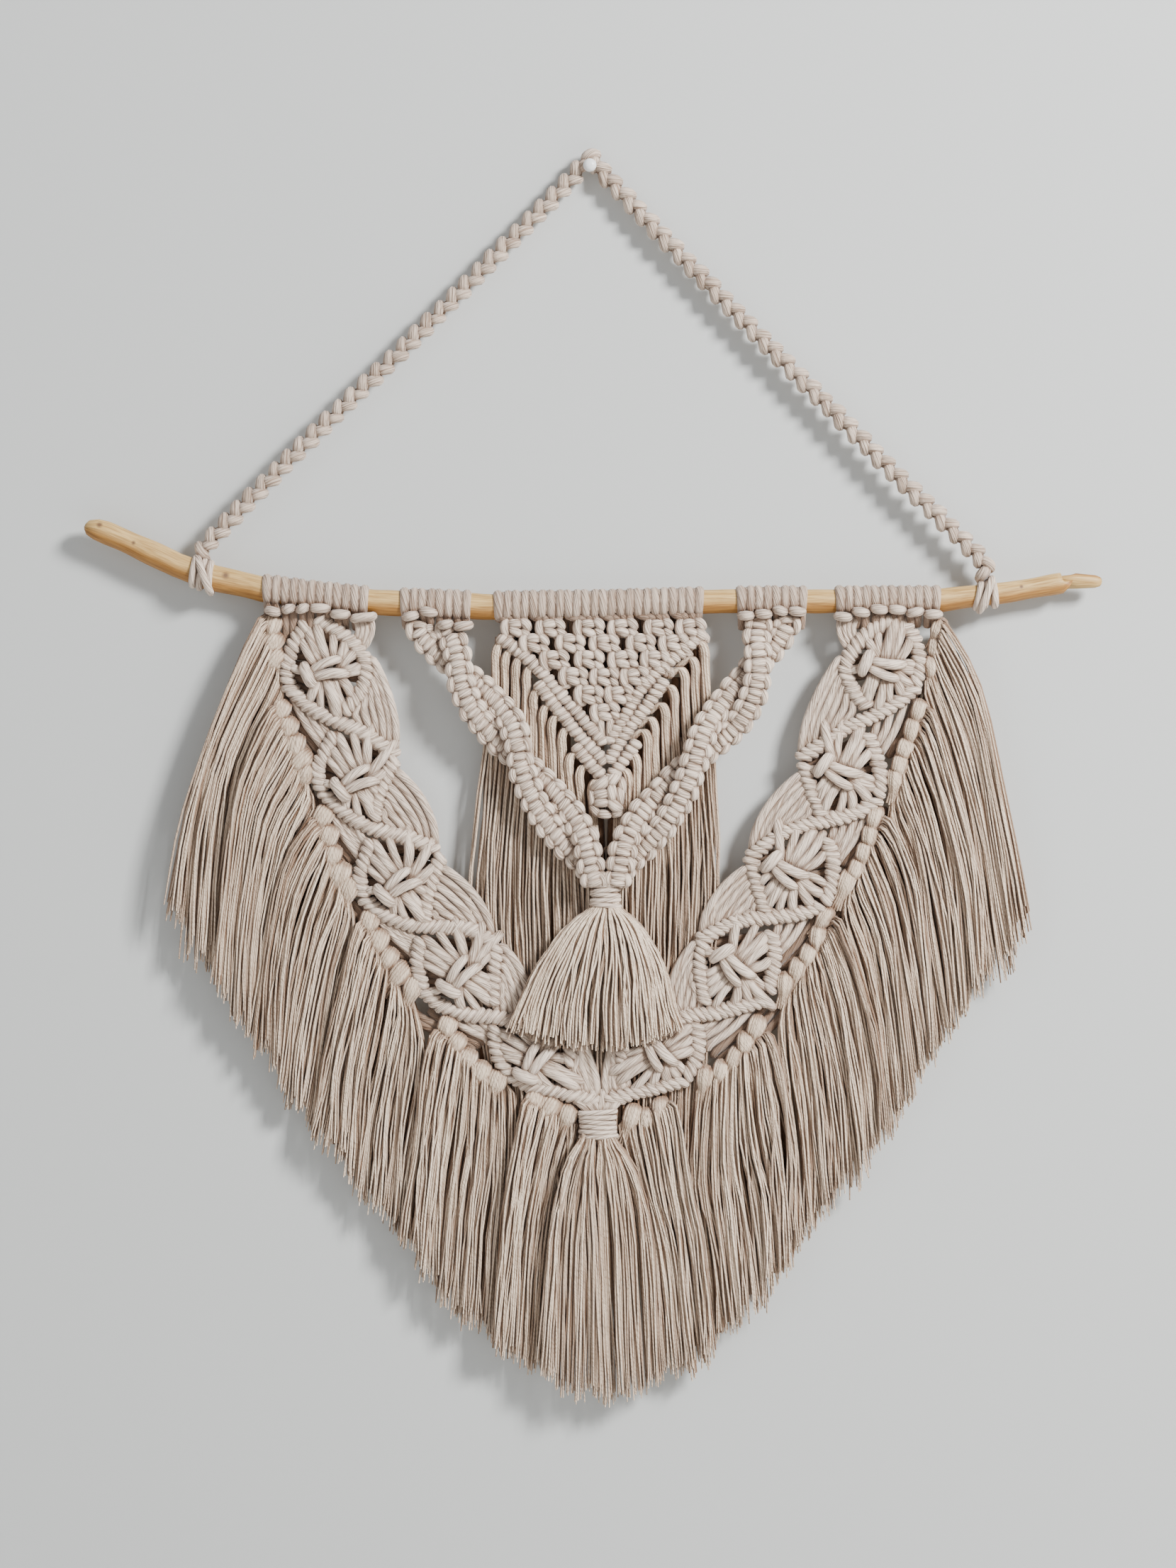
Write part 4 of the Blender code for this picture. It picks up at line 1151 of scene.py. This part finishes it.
# A star as it lies in the first motif of the left side, from its middle: the cords that come out
# from under the knot, then the knot's two bars and the turn at its ear, mm.
SPOKES = (
    # from x, z towards x, z, radius
    (-8.4, 1.4, -14.8, 13.6, 2.3),
    (-5.2, 2.4, -12.4, 21.2, 2.8),
    (-1.0, 3.0, -7.2, 25.6, 2.8),
    (1.6, 3.6, 1.6, 17.6, 2.2),
    (3.8, 3.6, 7.6, 14.8, 2.7),
    (3.2, 0.6, 14.8, 10.0, 2.8),
    (3.4, -0.6, 18.0, 3.2, 2.7),
    (5.6, -2.8, 15.4, -1.4, 2.1),
    (4.4, -2.8, 9.2, -10.8, 2.6),
    (1.4, -3.0, 5.6, -16.0, 2.6),
    (-3.0, -3.2, 2.0, -21.2, 3.2),
    (-4.8, -4.2, -5.4, -15.6, 2.2),
    (-6.4, -3.6, -9.6, -10.8, 2.6),
    (-12.0, -0.6, -20.0, 1.6, 2.2),
)
BARS = ((-10.6, -0.6, 5.6, 6.2, 2.6), (-9.8, -4.0, 9.4, -2.2, 2.8))
EAR = ((-14.2, 3.4), (-14.6, 1.2), (-12.6, -3.2), (-10.6, -7.4), (-9.0, -8.2))
# One for each motif, from the top: how far its star is turned, in degrees, then from where on the
# inner rail its outermost cord leaves, as a share of that rail, and how far that bows out, mm.
TILTS = (0.0, 12.0, 20.0, 34.0, 42.0)
INNER_START = (0.55, 0.28, 0.26, 0.10, 0.10)
INNER_BOW = (7.0, 8.5, 8.5, 8.0, 5.0)
STAR_REACH = 34.0
SPOKE_LEAST, SPOKE_MOST = 5.0, 27.0


def reach_to(middle, angle, fence):
    """How far it is from the middle to the fence of rails in one direction, in mm."""
    way = np.array((math.cos(angle), math.sin(angle)))
    found = [STAR_REACH]
    for line in fence:
        for (x0, z0), (x1, z1) in zip(line, line[1:]):
            edge, offset = np.array((x1 - x0, z1 - z0)), np.array((x0, z0)) - middle
            cross = way[0] * edge[1] - way[1] * edge[0]
            if abs(cross) < 1e-9:
                continue
            far = (offset[0] * edge[1] - offset[1] * edge[0]) / cross
            share = (offset[0] * way[1] - offset[1] * way[0]) / cross
            if far > 0 and -0.05 <= share <= 1.05:
                found.append(far)
    return min(found)


def between(one, other, share):
    """The place at this share of the way from one place to the other."""
    return np.array(one, float) * (1 - share) + np.array(other, float) * share


def down_rail(rail, share):
    """The (x, y, z) place at this share of a rail's length, in mm."""
    run, place = rail
    return place([(share * run, 0.0, 0.0)])[0] / MM


chance = random.Random(71)
for side, motifs in MOTIFS.items():
    hand = 1 if side == "left" else -1
    for number, (outer, inner, foot, middle) in enumerate(motifs, 1):
        middle = np.array(middle, float)
        lines = []
        for rail, lean in ((outer, 0.5), (inner, 0.5), (foot, 0.75 * hand)):
            route = through(at(rail, STAR_Y), 4)
            lines += hitches(route, RAIL_HALF, RAIL_DEPTH, RAIL_PITCH, RIDGE, lean, chance)
            # The holding cord inside the turns is painted in shade.
            lines.append((route, RAIL_CORD, 0.6))
        fence = (outer, inner, foot)
        tilt = math.radians(TILTS[number - 1]) * hand
        turned = np.array(((math.cos(tilt), math.sin(tilt)), (-math.sin(tilt), math.cos(tilt))))
        lay = np.array(((1.0, 0.0), (0.0, hand))) @ turned
        for x0, z0, x1, z1, radius in SPOKES:
            start, end = middle + np.array((x0, z0)) @ lay, middle + np.array((x1, z1)) @ lay
            way = (end - start) / np.linalg.norm(end - start)
            far = reach_to(start, math.atan2(way[1], way[0]), fence) - 0.6
            far = max(SPOKE_LEAST, min(far, SPOKE_MOST))
            bend = np.array((-way[1], way[0])) * chance.uniform(-1.4, 1.4)
            front = chance.uniform(-0.5, 0.9)
            route = [
                (start, 0.6 + front),
                (start + way * 0.22 * far + bend * 0.4, 2.0 + front),
                (start + way * 0.50 * far + bend, 2.5 + front),
                (start + way * 0.80 * far + bend * 0.7, 1.2 + 0.5 * front),
                (start + way * far, -1.6),
            ]
            route = np.array([(x, STAR_Y - lift, z) for (x, z), lift in route]) * MM
            run = np.linspace(0.0, 1.0, 13)
            fat = 1.1 * radius * np.interp(run, (0.0, 0.25, 0.75, 1.0), (0.85, 1.0, 1.04, 0.82))
            # Painted shade at both ends of each cord, where it goes under the knot and the rails.
            fading = (0.45, 1.0, 0.95, 0.4)
            tone = chance.uniform(0.84, 0.98) * np.interp(run, (0.0, 0.2, 0.8, 1.0), fading)
            lines.append((through(route, 3), fat * MM, tone))
        for x0, z0, x1, z1, radius in BARS:
            start, end = np.array((x0, z0)), np.array((x1, z1))
            route = []
            for share, front in ((-0.02, 3.0), (0.14, 5.6), (0.5, 6.8), (0.82, 5.6), (1.04, 2.2)):
                bow = np.array((0.0, 1.1 * math.sin(math.pi * share)))
                x, z = middle + (start + (end - start) * share + bow) @ lay
                route.append((x, STAR_Y - front, z))
            swell, tone = plump(13, 1.0, 0.74)
            lines.append(strand(route, 3, radius * swell, tone))
        route = []
        for (x, z), front in zip(EAR, (1.0, 4.6, 6.4, 5.2, 1.6)):
            x, z = middle + np.array((x, z)) @ lay
            route.append((x, STAR_Y - front, z))
        swell, tone = plump(13, 0.98, 0.6)
        lines.append(strand(route, 3, EAR_CORD * swell, tone))
        outer_rail, inner_rail, row = (along_route(at(rail, 0.0)) for rail in fence)
        for share in (0.04, 0.20, 0.36, 0.52, 0.68, 0.84, 0.98):
            one, other = down_rail(outer_rail, share), down_rail(inner_rail, share)
            behind = [(spot[0], STAR_Y + 4.6, spot[2]) for spot in (one, (one + other) / 2, other)]
            lines.append(strand(behind, 3, STAR_BACKING, PAINTED_SHADOW))
        if number < 5:
            outer_top, outer_end, inner_top, inner_end, count = CARRIED[side][number - 1]
            for cord in range(-3, count):
                share = cord / (count - 1)
                deep = 3.2 if cord < 0 else 0.0
                start, end = between(outer_top, inner_top, share), between(outer_end, inner_end, share)
                bow = between(start, end, 0.5) + np.array((-1.2 * hand, -0.6))
                y = STAR_Y + 2.4 + chance.uniform(-0.8, 0.4) + deep
                route = (
                    (start[0], y + 1, start[1] + 2),
                    (start[0], y, start[1]),
                    (bow[0], y - 1.0, bow[1]),
                    (end[0], y, end[1]),
                    (end[0] + 1.4 * hand, y + 1.4, end[1] - 2.4),
                )
                tone = PAINTED_SHADOW_LIGHTER if cord < 0 else chance.uniform(0.78, 0.95)
                lines.append(strand(route, 3, SWAG_CORD, tone))
        for cord in range(6):
            first = INNER_START[number - 1]
            leave = first + (1.0 - first) * cord / 6
            start, end = down_rail(inner_rail, leave), down_rail(row, 1.0 - 0.06 * cord)
            bow = INNER_BOW[number - 1] * (1.0 - cord / 5.5)
            out = np.array((hand * 1.0, 0.0, 0.45)) * bow
            route = np.array(
                [
                    start + (hand * 1.0, 0, 0),
                    start + (hand * 5.0, 0, 0.2 * bow),
                    start * 0.66 + end * 0.34 + out * 0.95,
                    start * 0.30 + end * 0.70 + out * 0.75,
                    end,
                ]
            )
            route[:, 1] = STAR_Y + np.array((1.0, -0.4, 0.2, 0.6, 1.6)) + 0.5 * (cord % 2)
            # Painted shade at both ends, where the cord goes under the rail and the row.
            tone = np.interp(np.linspace(0, 1, 17), (0, 0.15, 0.8, 1), (0.45, 0.95, 0.9, 0.45))
            lines.append(strand(route, 4, SWAG_CORD, chance.uniform(0.84, 1.0) * tone))
        star = cords(f"star_{side}_{number}_cords", lines, CORD, 8)
        hung(star, "cotton_cord", f"star_motif_{side}_{number}")


# ---------------------------------------------------------------- The fringes
# Outside the garland the cords are drawn up in fat hitches, one below the other, and combed out
# under them into their single yarns, cut on the slant in tufts. Thick cords behind the yarns,
# painted dark as the shadow there, close the gaps.
SEAMS = {
    # the edges between fringes, outermost first: end of the one above, start, knee, calf, hem
    "left": (
        (None, (-186, -256), (-213, -315), (-228, -363), (-238, -421)),
        ((-173, -300), (-180, -306), (-197, -345), (-205, -399), (-210, -459)),
        ((-155, -366), (-158, -368), (-173, -396), (-182, -443), (-188, -495)),
        ((-132, -432), (-132, -427), (-142, -463), (-150, -503), (-156, -545)),
        ((-93, -498), (-90, -490), (-97, -523), (-102, -563), (-106, -609)),
        ((-43, -524), (-38, -529), (-46, -571), (-51, -615), (-55, -665)),
        ((-7, -542), (-6, -549), (-16, -567), (-23, -606), (-28, -679)),
    ),
    "right": (
        (None, (200, -258), (219, -293), (234, -359), (250, -431)),
        ((189, -300), (194, -306), (207, -349), (219, -399), (224, -455)),
        ((169, -370), (170, -368), (182, -397), (190, -443), (198, -497)),
        ((142, -426), (142, -425), (155, -459), (163, -499), (168, -546)),
        ((106, -488), (104, -491), (112, -523), (117, -563), (121, -609)),
        ((60, -524), (50, -530), (58, -583), (64, -623), (70, -672)),
        ((16, -542), (15, -549), (26, -567), (36, -608), (42, -683)),
    ),
}
HEADS = {
    # the fat hitches of each fringe, from the top down
    "left": (
        ((-179, -259), (-178, -269), (-176.5, -278)),
        ((-174, -307), (-170, -317), (-166, -327), (-162.5, -335.5), (-159, -343)),
        ((-150, -367), (-147, -378), (-145, -389), (-140.5, -399.5), (-135, -407)),
        ((-124, -426), (-119, -437), (-113, -447), (-106.5, -455.5), (-99, -463)),
        ((-80, -485), (-75, -495), (-69, -504), (-61, -511), (-52, -516)),
        ((-31, -527), (-22, -531), (-12, -535)),
    ),
    "right": (
        ((197, -261), (195.5, -272), (192.5, -282)),
        ((186, -307), (182, -318), (178, -329), (175, -338), (172, -346)),
        ((161, -367), (158, -378), (155, -387.5), (150.5, -397), (145, -404)),
        ((133, -424), (129, -435), (123, -445), (117, -453), (110, -461)),
        ((94, -486), (88, -495), (82, -503.5), (74, -510.5), (65, -514)),
        ((40, -532), (32, -538), (24, -536)),
    ),
}
# One for each fringe, from the top: its yarns, and how far its hem sags in the middle, mm.
YARNS = (165, 195, 195, 200, 205, 150)
HEM_SAG = (11, 7, 5, 6, 6, 4)
FRINGE_BACKING, FRINGE_BACKING_CORD = 18, 2.4
FRINGE_Y = -13.6
FRINGE_TUFTS, BOTTOM_TUFTS = 10, 8
FRINGE_OVERLAP = 3.8


def combed(rows, hem_sag, middle_y, count, tufts, chance, slope=0.0, overlap=0.0):
    """Yarns that hang through rows of places; each row is a line of (x, z) in mm from side to side.

    They lie in three layers, the front one first, and gather in tufts that sway, end and cover each
    other in their own ways. The hem sags in the middle, slope cuts the front yarns shorter, and
    overlap brings the first side forward and lays the last one back.
    """
    tables = [np.array(row, float) for row in rows]
    marks = [np.linspace(0.0, 1.0, len(table)) for table in tables]
    inner_edges = [(tuft + 1 + chance.uniform(-0.3, 0.3)) / tufts for tuft in range(tufts - 1)]
    edges = sorted([0.0, 1.0] + inner_edges)
    sways = []
    for _ in range(tufts):
        sways.append((chance.uniform(0, 6.3), chance.uniform(3, 7), chance.uniform(0.6, 2.4)))
    cuts = [chance.uniform(-1.0, 1.0) for _ in range(tufts)]
    lifts = [chance.uniform(-2.2, 2.6) for _ in range(tufts)]
    casts = [chance.uniform(0.78, 1.06) for _ in range(tufts)]
    found = []
    for layer, part in ((0, 0.46), (1, 0.32), (2, 0.22)):
        in_layer = round(count * part)
        for number in range(in_layer):
            share = (number + 0.5 + chance.uniform(-0.55, 0.55)) / in_layer
            share = min(0.998, max(0.002, share))
            tuft = min(tufts - 1, max(0, int(np.searchsorted(edges, share)) - 1))
            tuft_middle = 0.5 * (edges[tuft] + edges[tuft + 1])
            in_tuft = 2 * (share - tuft_middle) / (edges[tuft + 1] - edges[tuft])
            points = []
            for level, (table, mark) in enumerate(zip(tables, marks)):
                pull = (0.30, 0.45, 0.40, 0.34, 0.22)[min(level, 4)] * (1.0, 0.8, 0.2)[layer]
                held = share + (tuft_middle - share) * pull + chance.gauss(0.0, 0.016)
                x, z = (np.interp(held, mark, table[:, axis]) for axis in (0, 1))
                points.append([x, 0.0, z])
            points = np.array(points)
            last = points[-1] - points[-2]
            last /= np.linalg.norm(last)
            cut = 4.0 * cuts[tuft] + chance.uniform(-5.5, 4.5) - 2.5 * in_tuft**2
            cut -= (8.0, 3.0, 0.0)[layer] * slope
            points[-1] += last * cut
            points[-1, 2] -= hem_sag * math.sin(math.pi * share)
            fall = np.linspace(0.0, 1.0, len(points))
            crown = (1.0 - in_tuft**2) * 2.0 * np.minimum(1.0, 3 * fall)
            bank = overlap * (1.0 - 2.0 * share) * np.minimum(1.0, 3.0 * fall)
            forward = (1.7, 0.2, -1.4)[layer] + chance.uniform(-1.0, 1.0)
            spring = 2.2 * np.sin(math.pi * np.minimum(1.0, fall * 1.2))
            spring -= 2.2 * (1.0 - np.minimum(1.0, 4 * fall))
            points[:, 1] = middle_y - forward - crown - bank - spring - lifts[tuft] * fall
            route = through(points, (3, 3, 2)[layer])
            run = np.linspace(0.0, 1.0, len(route))
            phase, rate, size = sways[tuft]
            bend, waves = chance.uniform(0.25, 0.85), chance.uniform(11, 22)
            curl = bend * np.sin(waves * run + chance.uniform(0, 6.3))
            drift = size * np.sin(rate * run + phase) * run + chance.gauss(0.0, 1.3) * run**2
            route[:, 0] += drift + curl * np.minimum(1.0, 4 * run)
            route[:, 1] += 0.5 * curl
            # Painted shade: the back layers and the edges of each tuft are darker; a few yarns are
            # darker at random, in their own tone.
            tone = (1.0, 0.88, 0.6)[layer] * casts[tuft] * chance.uniform(0.80, 1.08)
            tone -= 0.42 * in_tuft**4
            if chance.random() < 0.07:
                tone *= 0.55
            taper = np.interp(run, (0.0, 0.1, 0.9, 1.0), (1.1, 1.0, 1.0, 0.6))
            radius = chance.uniform(0.54, 0.74) * taper
            # Painted shade at both sides of the fringe, where the next ones cover it, and on the yarns'
            # tops, under the heads.
            seam = np.interp(min(share, 1.0 - share), (0.0, 0.07), (0.5, 1.0))
            fading = np.interp(run, (0.0, 0.08, 0.2), (0.35, 0.55, 1.0))
            tone = seam * min(1.0, max(0.1, tone)) * fading
            found.append((route * MM, radius * MM, tone))
    return found


FAT_HITCH = (
    # along it, spread, forward, from its foot among the yarns up to its top
    (-14.0, 1.35, 1.4),
    (-7.4, 0.80, 2.8),
    (-2.6, 1.08, 4.7),
    (2.2, 1.14, 4.4),
    (5.0, 0.95, 0.6),
)


HITCH_LEAN = {
    # how far a head leans, in radians, how far that strays, how wide its cords spread
    "left": (0.50, 0.15, 2.15),
    "right": (0.19, 0.13, 1.75),
}


def fat_hitch(x, z, side, chance):
    """One head of a fringe: its cords drawn up over the carried ones and back down behind them."""
    found = []
    lean, stray, reach = HITCH_LEAN[side]
    lean += chance.gauss(0.0, stray)
    large = 1.2 * chance.uniform(0.90, 1.08)
    way = large * np.array((math.sin(lean), math.cos(lean)))
    wide = large * np.array((math.cos(lean), -math.sin(lean)))
    for cord in range(6):
        t = cord / 2.5 - 1.0
        edge = 1.0 - 0.8 * t * t
        route = []
        for along_it, spread, front in FAT_HITCH:
            x_at, z_at = (
                np.array((x, z))
                + way * along_it * (0.86 + 0.14 * edge)
                + wide * t * reach * spread * 1.35
            )
            route.append((x_at, FRINGE_Y - front * (0.60 + 0.40 * edge), z_at))
        run = np.linspace(0.0, 1.0, 9)
        # Painted shade: darker low among the yarns, and darkest at the top, where the cord goes back
        # down behind.
        fading = np.interp(run, (0, 0.3, 0.45, 0.8, 1), (0.8, 0.65, 1, 0.9, 0.3))
        tone = chance.uniform(0.72, 0.92) * fading
        fat = np.interp(run, (0, 0.3, 0.5, 0.75, 1), (0.7, 1.15, 1.9, 1.9, 1.2))
        found.append(strand(route, 2, chance.uniform(0.95, 1.1) * fat, tone))
    return found


chance = random.Random(81)
for side in ("left", "right"):
    hand = 1 if side == "left" else -1
    for number in range(6):
        outer, inner = SEAMS[side][number], SEAMS[side][number + 1]
        heads = HEADS[side][number]
        rows = [[(x - 1.6 * hand, z - 3.0) for x, z in heads]]
        rows.append([outer[1], *(between(outer[1], inner[0], s) for s in (0.33, 0.67)), inner[0]])
        rows += [[outer[level], inner[level]] for level in (2, 3, 4)]
        under = [[outside, (x + 3.5 * hand, z)] for outside, (x, z) in rows[2:]]
        slope = 1.0 if number == 0 else 0.4
        sag, yarns = HEM_SAG[number], YARNS[number]
        lines = combed(
            rows[:2] + under, sag, FRINGE_Y, yarns, FRINGE_TUFTS, chance, slope, FRINGE_OVERLAP
        )
        for x, z in heads:
            lines += fat_hitch(x, z, side, chance)
        for cord in range(FRINGE_BACKING):
            share = 0.08 + 0.84 * cord / (FRINGE_BACKING - 1)
            behind = []
            for level, row in enumerate(rows):
                mark = np.linspace(0.0, 1.0, len(row))
                x, z = (np.interp(share, mark, np.array(row)[:, axis]) for axis in (0, 1))
                behind.append((x, FRINGE_Y + 4.6 + 0.4 * level, z))
            behind = np.array(behind)
            behind[-1] = 0.15 * behind[-2] + 0.85 * behind[-1]
            lines.append(strand(behind, 1, FRINGE_BACKING_CORD, PAINTED_SHADOW))
        fringe = cords(f"fringe_{side}_{number + 1}_yarns", lines, COMBED, 5)
        hung(fringe, "combed_cotton", f"fringe_{side}_{number + 1}")


# ---------------------------------------------------------------- The tassel under the bands
# Where the bands meet they are bound with five turns of a cord, and their ends are combed out below
# it into a full skirt of yarns, trimmed to a shallow curve.
def bound(x, top, bottom, half, depth, y, turns, chance):
    """A tight binding of cord turns, each a little askew."""
    lines = []
    pitch = (top - bottom) / turns
    for turn in range(turns):
        z = top - (turn + 0.5) * pitch
        tilt, slip = chance.uniform(-0.9, 0.9), chance.uniform(-0.4, 0.4)
        waist = 1.0 - 0.10 * math.sin(math.pi * (turn + 0.5) / turns)
        loop = []
        for step in range(25):
            angle = 2 * math.pi * step / 24 + 0.5 * math.pi
            across, back = math.cos(angle), math.sin(angle)
            loop.append((x + slip + half * waist * across, y + depth * back, z + tilt * across))
        lines.append((np.array(loop) * MM, pitch * 0.56 * MM, chance.uniform(0.9, 1.0)))
    return lines


SKIRT = (
    # z, x, half width, half depth, y
    (-408.0, 9.0, 6.2, 3.7, -22.6),
    (-418.4, 9.0, 8.0, 4.6, -22.8),
    (-424.0, 8.3, 15.5, 5.6, -23.6),
    (-432.0, 7.8, 23.5, 5.8, -24.4),
    (-444.0, 7.0, 31.0, 5.4, -25.0),
    (-458.0, 5.6, 37.5, 5.0, -25.0),
    (-474.0, 4.2, 42.5, 4.6, -25.0),
    (-484.5, 4.0, 45.5, 4.2, -25.0),
)
BAND_TURNS = 5
SKIRT_YARNS, SKIRT_TUFTS = 430, 18
SKIRT_FALL = 13.0
GOLDEN = 0.61803
chance = random.Random(101)
lines = bound(9.0, -404.6, -418.6, 8.0, 5.2, -22.6, BAND_TURNS, chance)
binding = cords("band_binding", lines, CORD, 10)
hung(binding, "cotton_cord", "band_gather")
lines = []
rows = np.array(SKIRT)
for number in range(SKIRT_YARNS):
    layer = (number % 4) / 3
    turn = 2 * math.pi * ((number * GOLDEN) % 1.0)
    across = math.cos(turn)
    across = math.copysign(abs(across) ** 0.8, across) * (1 - 0.12 * layer)
    astray = chance.gauss(0.0, 0.075)
    deep = math.sin(turn) * (1 - 0.55 * layer)
    tuft = math.floor((across + 1) * SKIRT_TUFTS / 2) / (SKIRT_TUFTS / 2) - 1 + 1 / SKIRT_TUFTS
    pull = np.linspace(0.0, 0.42, len(rows))
    held = across + (tuft - across) * pull + astray * np.linspace(-0.5, 1.0, len(rows))
    places = (rows[:, 1] + rows[:, 2] * held, rows[:, 4] + rows[:, 3] * deep, rows[:, 0])
    points = np.stack(places, axis=1)
    points[-1, 2] -= SKIRT_FALL * (1 - across**2) ** 0.8 + chance.uniform(-4.2, 2.8)
    route = through(points, 2)
    run = np.linspace(0.0, 1.0, len(route))
    ripple = chance.uniform(0.2, 0.9) * np.sin(chance.uniform(8, 22) * run + 6.3 * chance.random())
    route[:, 0] += ripple * np.minimum(1.0, 2 * run)
    route[:, 1] += 0.4 * ripple
    # Painted shade: yarns at the back of the skirt and in its inner layers are darker.
    facing = 1.0 if deep < 0 else 0.55
    tone = (1.15 - 0.40 * layer) * facing + chance.uniform(-0.22, 0.05)
    radius = np.interp(run, (0.0, 0.3, 0.95, 1.0), (0.66, 0.76, 0.72, 0.5)) * chance.uniform(0.85, 1.12)
    lines.append((route * MM, radius * MM, min(1.0, max(0.15, tone))))
skirt = cords("band_tassel_yarns", lines, COMBED, 5)
hung(skirt, "combed_cotton", "band_tassel")


# ---------------------------------------------------------------- The bottom tassel
# The garland's two ends are bound together with six turns, and the cords of both fall from there
# in one long tassel between the last two fringes.
BOTTOM_YARNS, BOTTOM_TURNS, BOTTOM_SAG, BOTTOM_Y = 250, 6, 13.0, -18.0
chance = random.Random(111)
lines = bound(4.6, -532.6, -549.0, 10.2, 5.6, BOTTOM_Y, BOTTOM_TURNS, chance)
for x, foot in ((-9.0, -2.0), (-4.0, 1.0), (1.5, 4.0), (7.5, 6.0), (13.0, 8.5), (18.0, 12.0)):
    gathered = (x * 0.8 + foot * 0.2, -16.4, -527.0)
    route = ((x, -14.0, -522.0), gathered, (foot, -18.6, -533.0), (foot, -17.6, -542.0))
    lines.append(strand(route, 3, NET_TAIL, chance.uniform(0.8, 0.95)))
binding = cords("bottom_binding", lines, CORD, 10)
hung(binding, "cotton_cord", "bottom_gather")
left, right = SEAMS["left"][-1], SEAMS["right"][-1]
rows = [((-3.0, -543.0), (12.0, -543.0))] + [(left[level], right[level]) for level in (1, 2, 3, 4)]
lines = combed(rows, BOTTOM_SAG, BOTTOM_Y, BOTTOM_YARNS, BOTTOM_TUFTS, chance)
tassel = cords("bottom_tassel_yarns", lines, COMBED, 5)
hung(tassel, "combed_cotton", "bottom_tassel")


# ---------------------------------------------------------------- The creases
# Painted shade: cotton is made dark and brown where it lies deep between its neighbours, as
# shade falls there. Each point's shade falls with how little free room there is just over it, and
# further out. Points that face the wall get a light shade first, so that the cords behind, painted
# dark as shadow, are dark from the front only.
MARK_STEP = 1.3 * MM
BACK_FACING, BACK_SHADE = 0.12, 0.9
marks, widths = [], []
for route, thick in LAID:
    steps = np.linalg.norm(np.diff(route, axis=0), axis=1)
    for here, there, wide, step in zip(route[:-1], route[1:], thick, steps):
        count = max(1, math.ceil(step / MARK_STEP))
        for part in range(count):
            marks.append(here + (there - here) * part / count)
            widths.append(wide)
nearest = KDTree(len(marks))
for number, mark in enumerate(marks):
    nearest.insert(mark, number)
nearest.balance()
for piece in [one for one in bpy.data.objects if one.type == "MESH" and "shade" in one.data.attributes]:
    mesh = piece.data
    if mesh.materials[0] == WOOD:
        continue
    count = len(mesh.vertices)
    place, facing = np.empty(3 * count, np.float32), np.empty(3 * count, np.float32)
    thick, shade = np.empty(count, np.float32), np.empty(count, np.float32)
    mesh.vertices.foreach_get("co", place)
    mesh.vertex_normals.foreach_get("vector", facing)
    mesh.attributes["thick"].data.foreach_get("value", thick)
    mesh.attributes["shade"].data.foreach_get("value", shade)
    place, facing = place.reshape(-1, 3), facing.reshape(-1, 3)
    shade = np.where(facing[:, 1] > BACK_FACING, np.maximum(shade, BACK_SHADE), shade)
    for reach, least in ((0.45 * thick + 0.35 * MM, 0.18), (1.1 * thick + 1.6 * MM, 0.62)):
        free = np.empty(count)
        for number, spot in enumerate((place + facing * reach[:, None]).tolist()):
            _, index, far = nearest.find(spot)
            free[number] = far - widths[index]
        shade = shade * (least + (1.0 - least) * np.clip(free / (0.85 * reach), 0.0, 1.0))
    mesh.attributes["shade"].data.foreach_set("value", shade.astype(np.float32))


# ---------------------------------------------------------------- The push pin
# A small round-headed pin of white plastic on a steel point. Its outline is turned about its axis.
PIN_OUTLINE = (
    # y, radius
    (-17.4, 0.0),
    (-17.35, 1.3),
    (-16.9, 2.5),
    (-15.9, 3.4),
    (-14.6, 3.8),
    (-13.2, 3.66),
    (-12.0, 3.1),
    (-11.4, 2.6),
    (-11.1, 0.55),
    (6.5, 0.55),
    (9.0, 0.0),
)
PIN_STEPS = 28
FACE_ORDER = (1.0, 31.7, 7.3)  # a direction along which no two faces lie equally far
pin_plastic, tree, shader = matt("pin_plastic", (0.80, 0.80, 0.78), 0.32)
place = node(tree, "ShaderNodeTexCoord").outputs["Object"]
mottle = node(tree, "ShaderNodeTexNoise", {"Vector": place, "Scale": 900.0})
tints = {"Factor": mottle, 6: (0.72, 0.72, 0.70, 1.0), 7: (0.84, 0.84, 0.83, 1.0)}
plug(tree, shader, {"Base Color": node(tree, "ShaderNodeMix", tints, data_type="RGBA").outputs[2]})
shape = bmesh.new()
outline = [shape.verts.new((radius * MM, y * MM, 0.0)) for y, radius in PIN_OUTLINE]
edges = [shape.edges.new(pair) for pair in zip(outline, outline[1:])]
bmesh.ops.spin(
    shape,
    geom=outline + edges,
    cent=(0, 0, 0),
    axis=(0, 1, 0),
    angle=math.tau,
    steps=PIN_STEPS,
    use_merge=True,
)
bmesh.ops.remove_doubles(shape, verts=shape.verts, dist=1e-6)
bmesh.ops.recalc_face_normals(shape, faces=shape.faces)
# Spin gives the faces in another order from run to run, so they are put in one that stays.
shape.faces.sort(key=lambda face: face.calc_center_median().dot(FACE_ORDER))
for face in shape.faces:
    face.smooth = True
mesh = bpy.data.meshes.new("pin")
shape.to_mesh(mesh)
shape.free()
mesh.materials.append(pin_plastic)
pin = bpy.data.objects.new("pin", mesh)
bpy.context.scene.collection.objects.link(pin)
hung(pin, "pin", "push_pin")
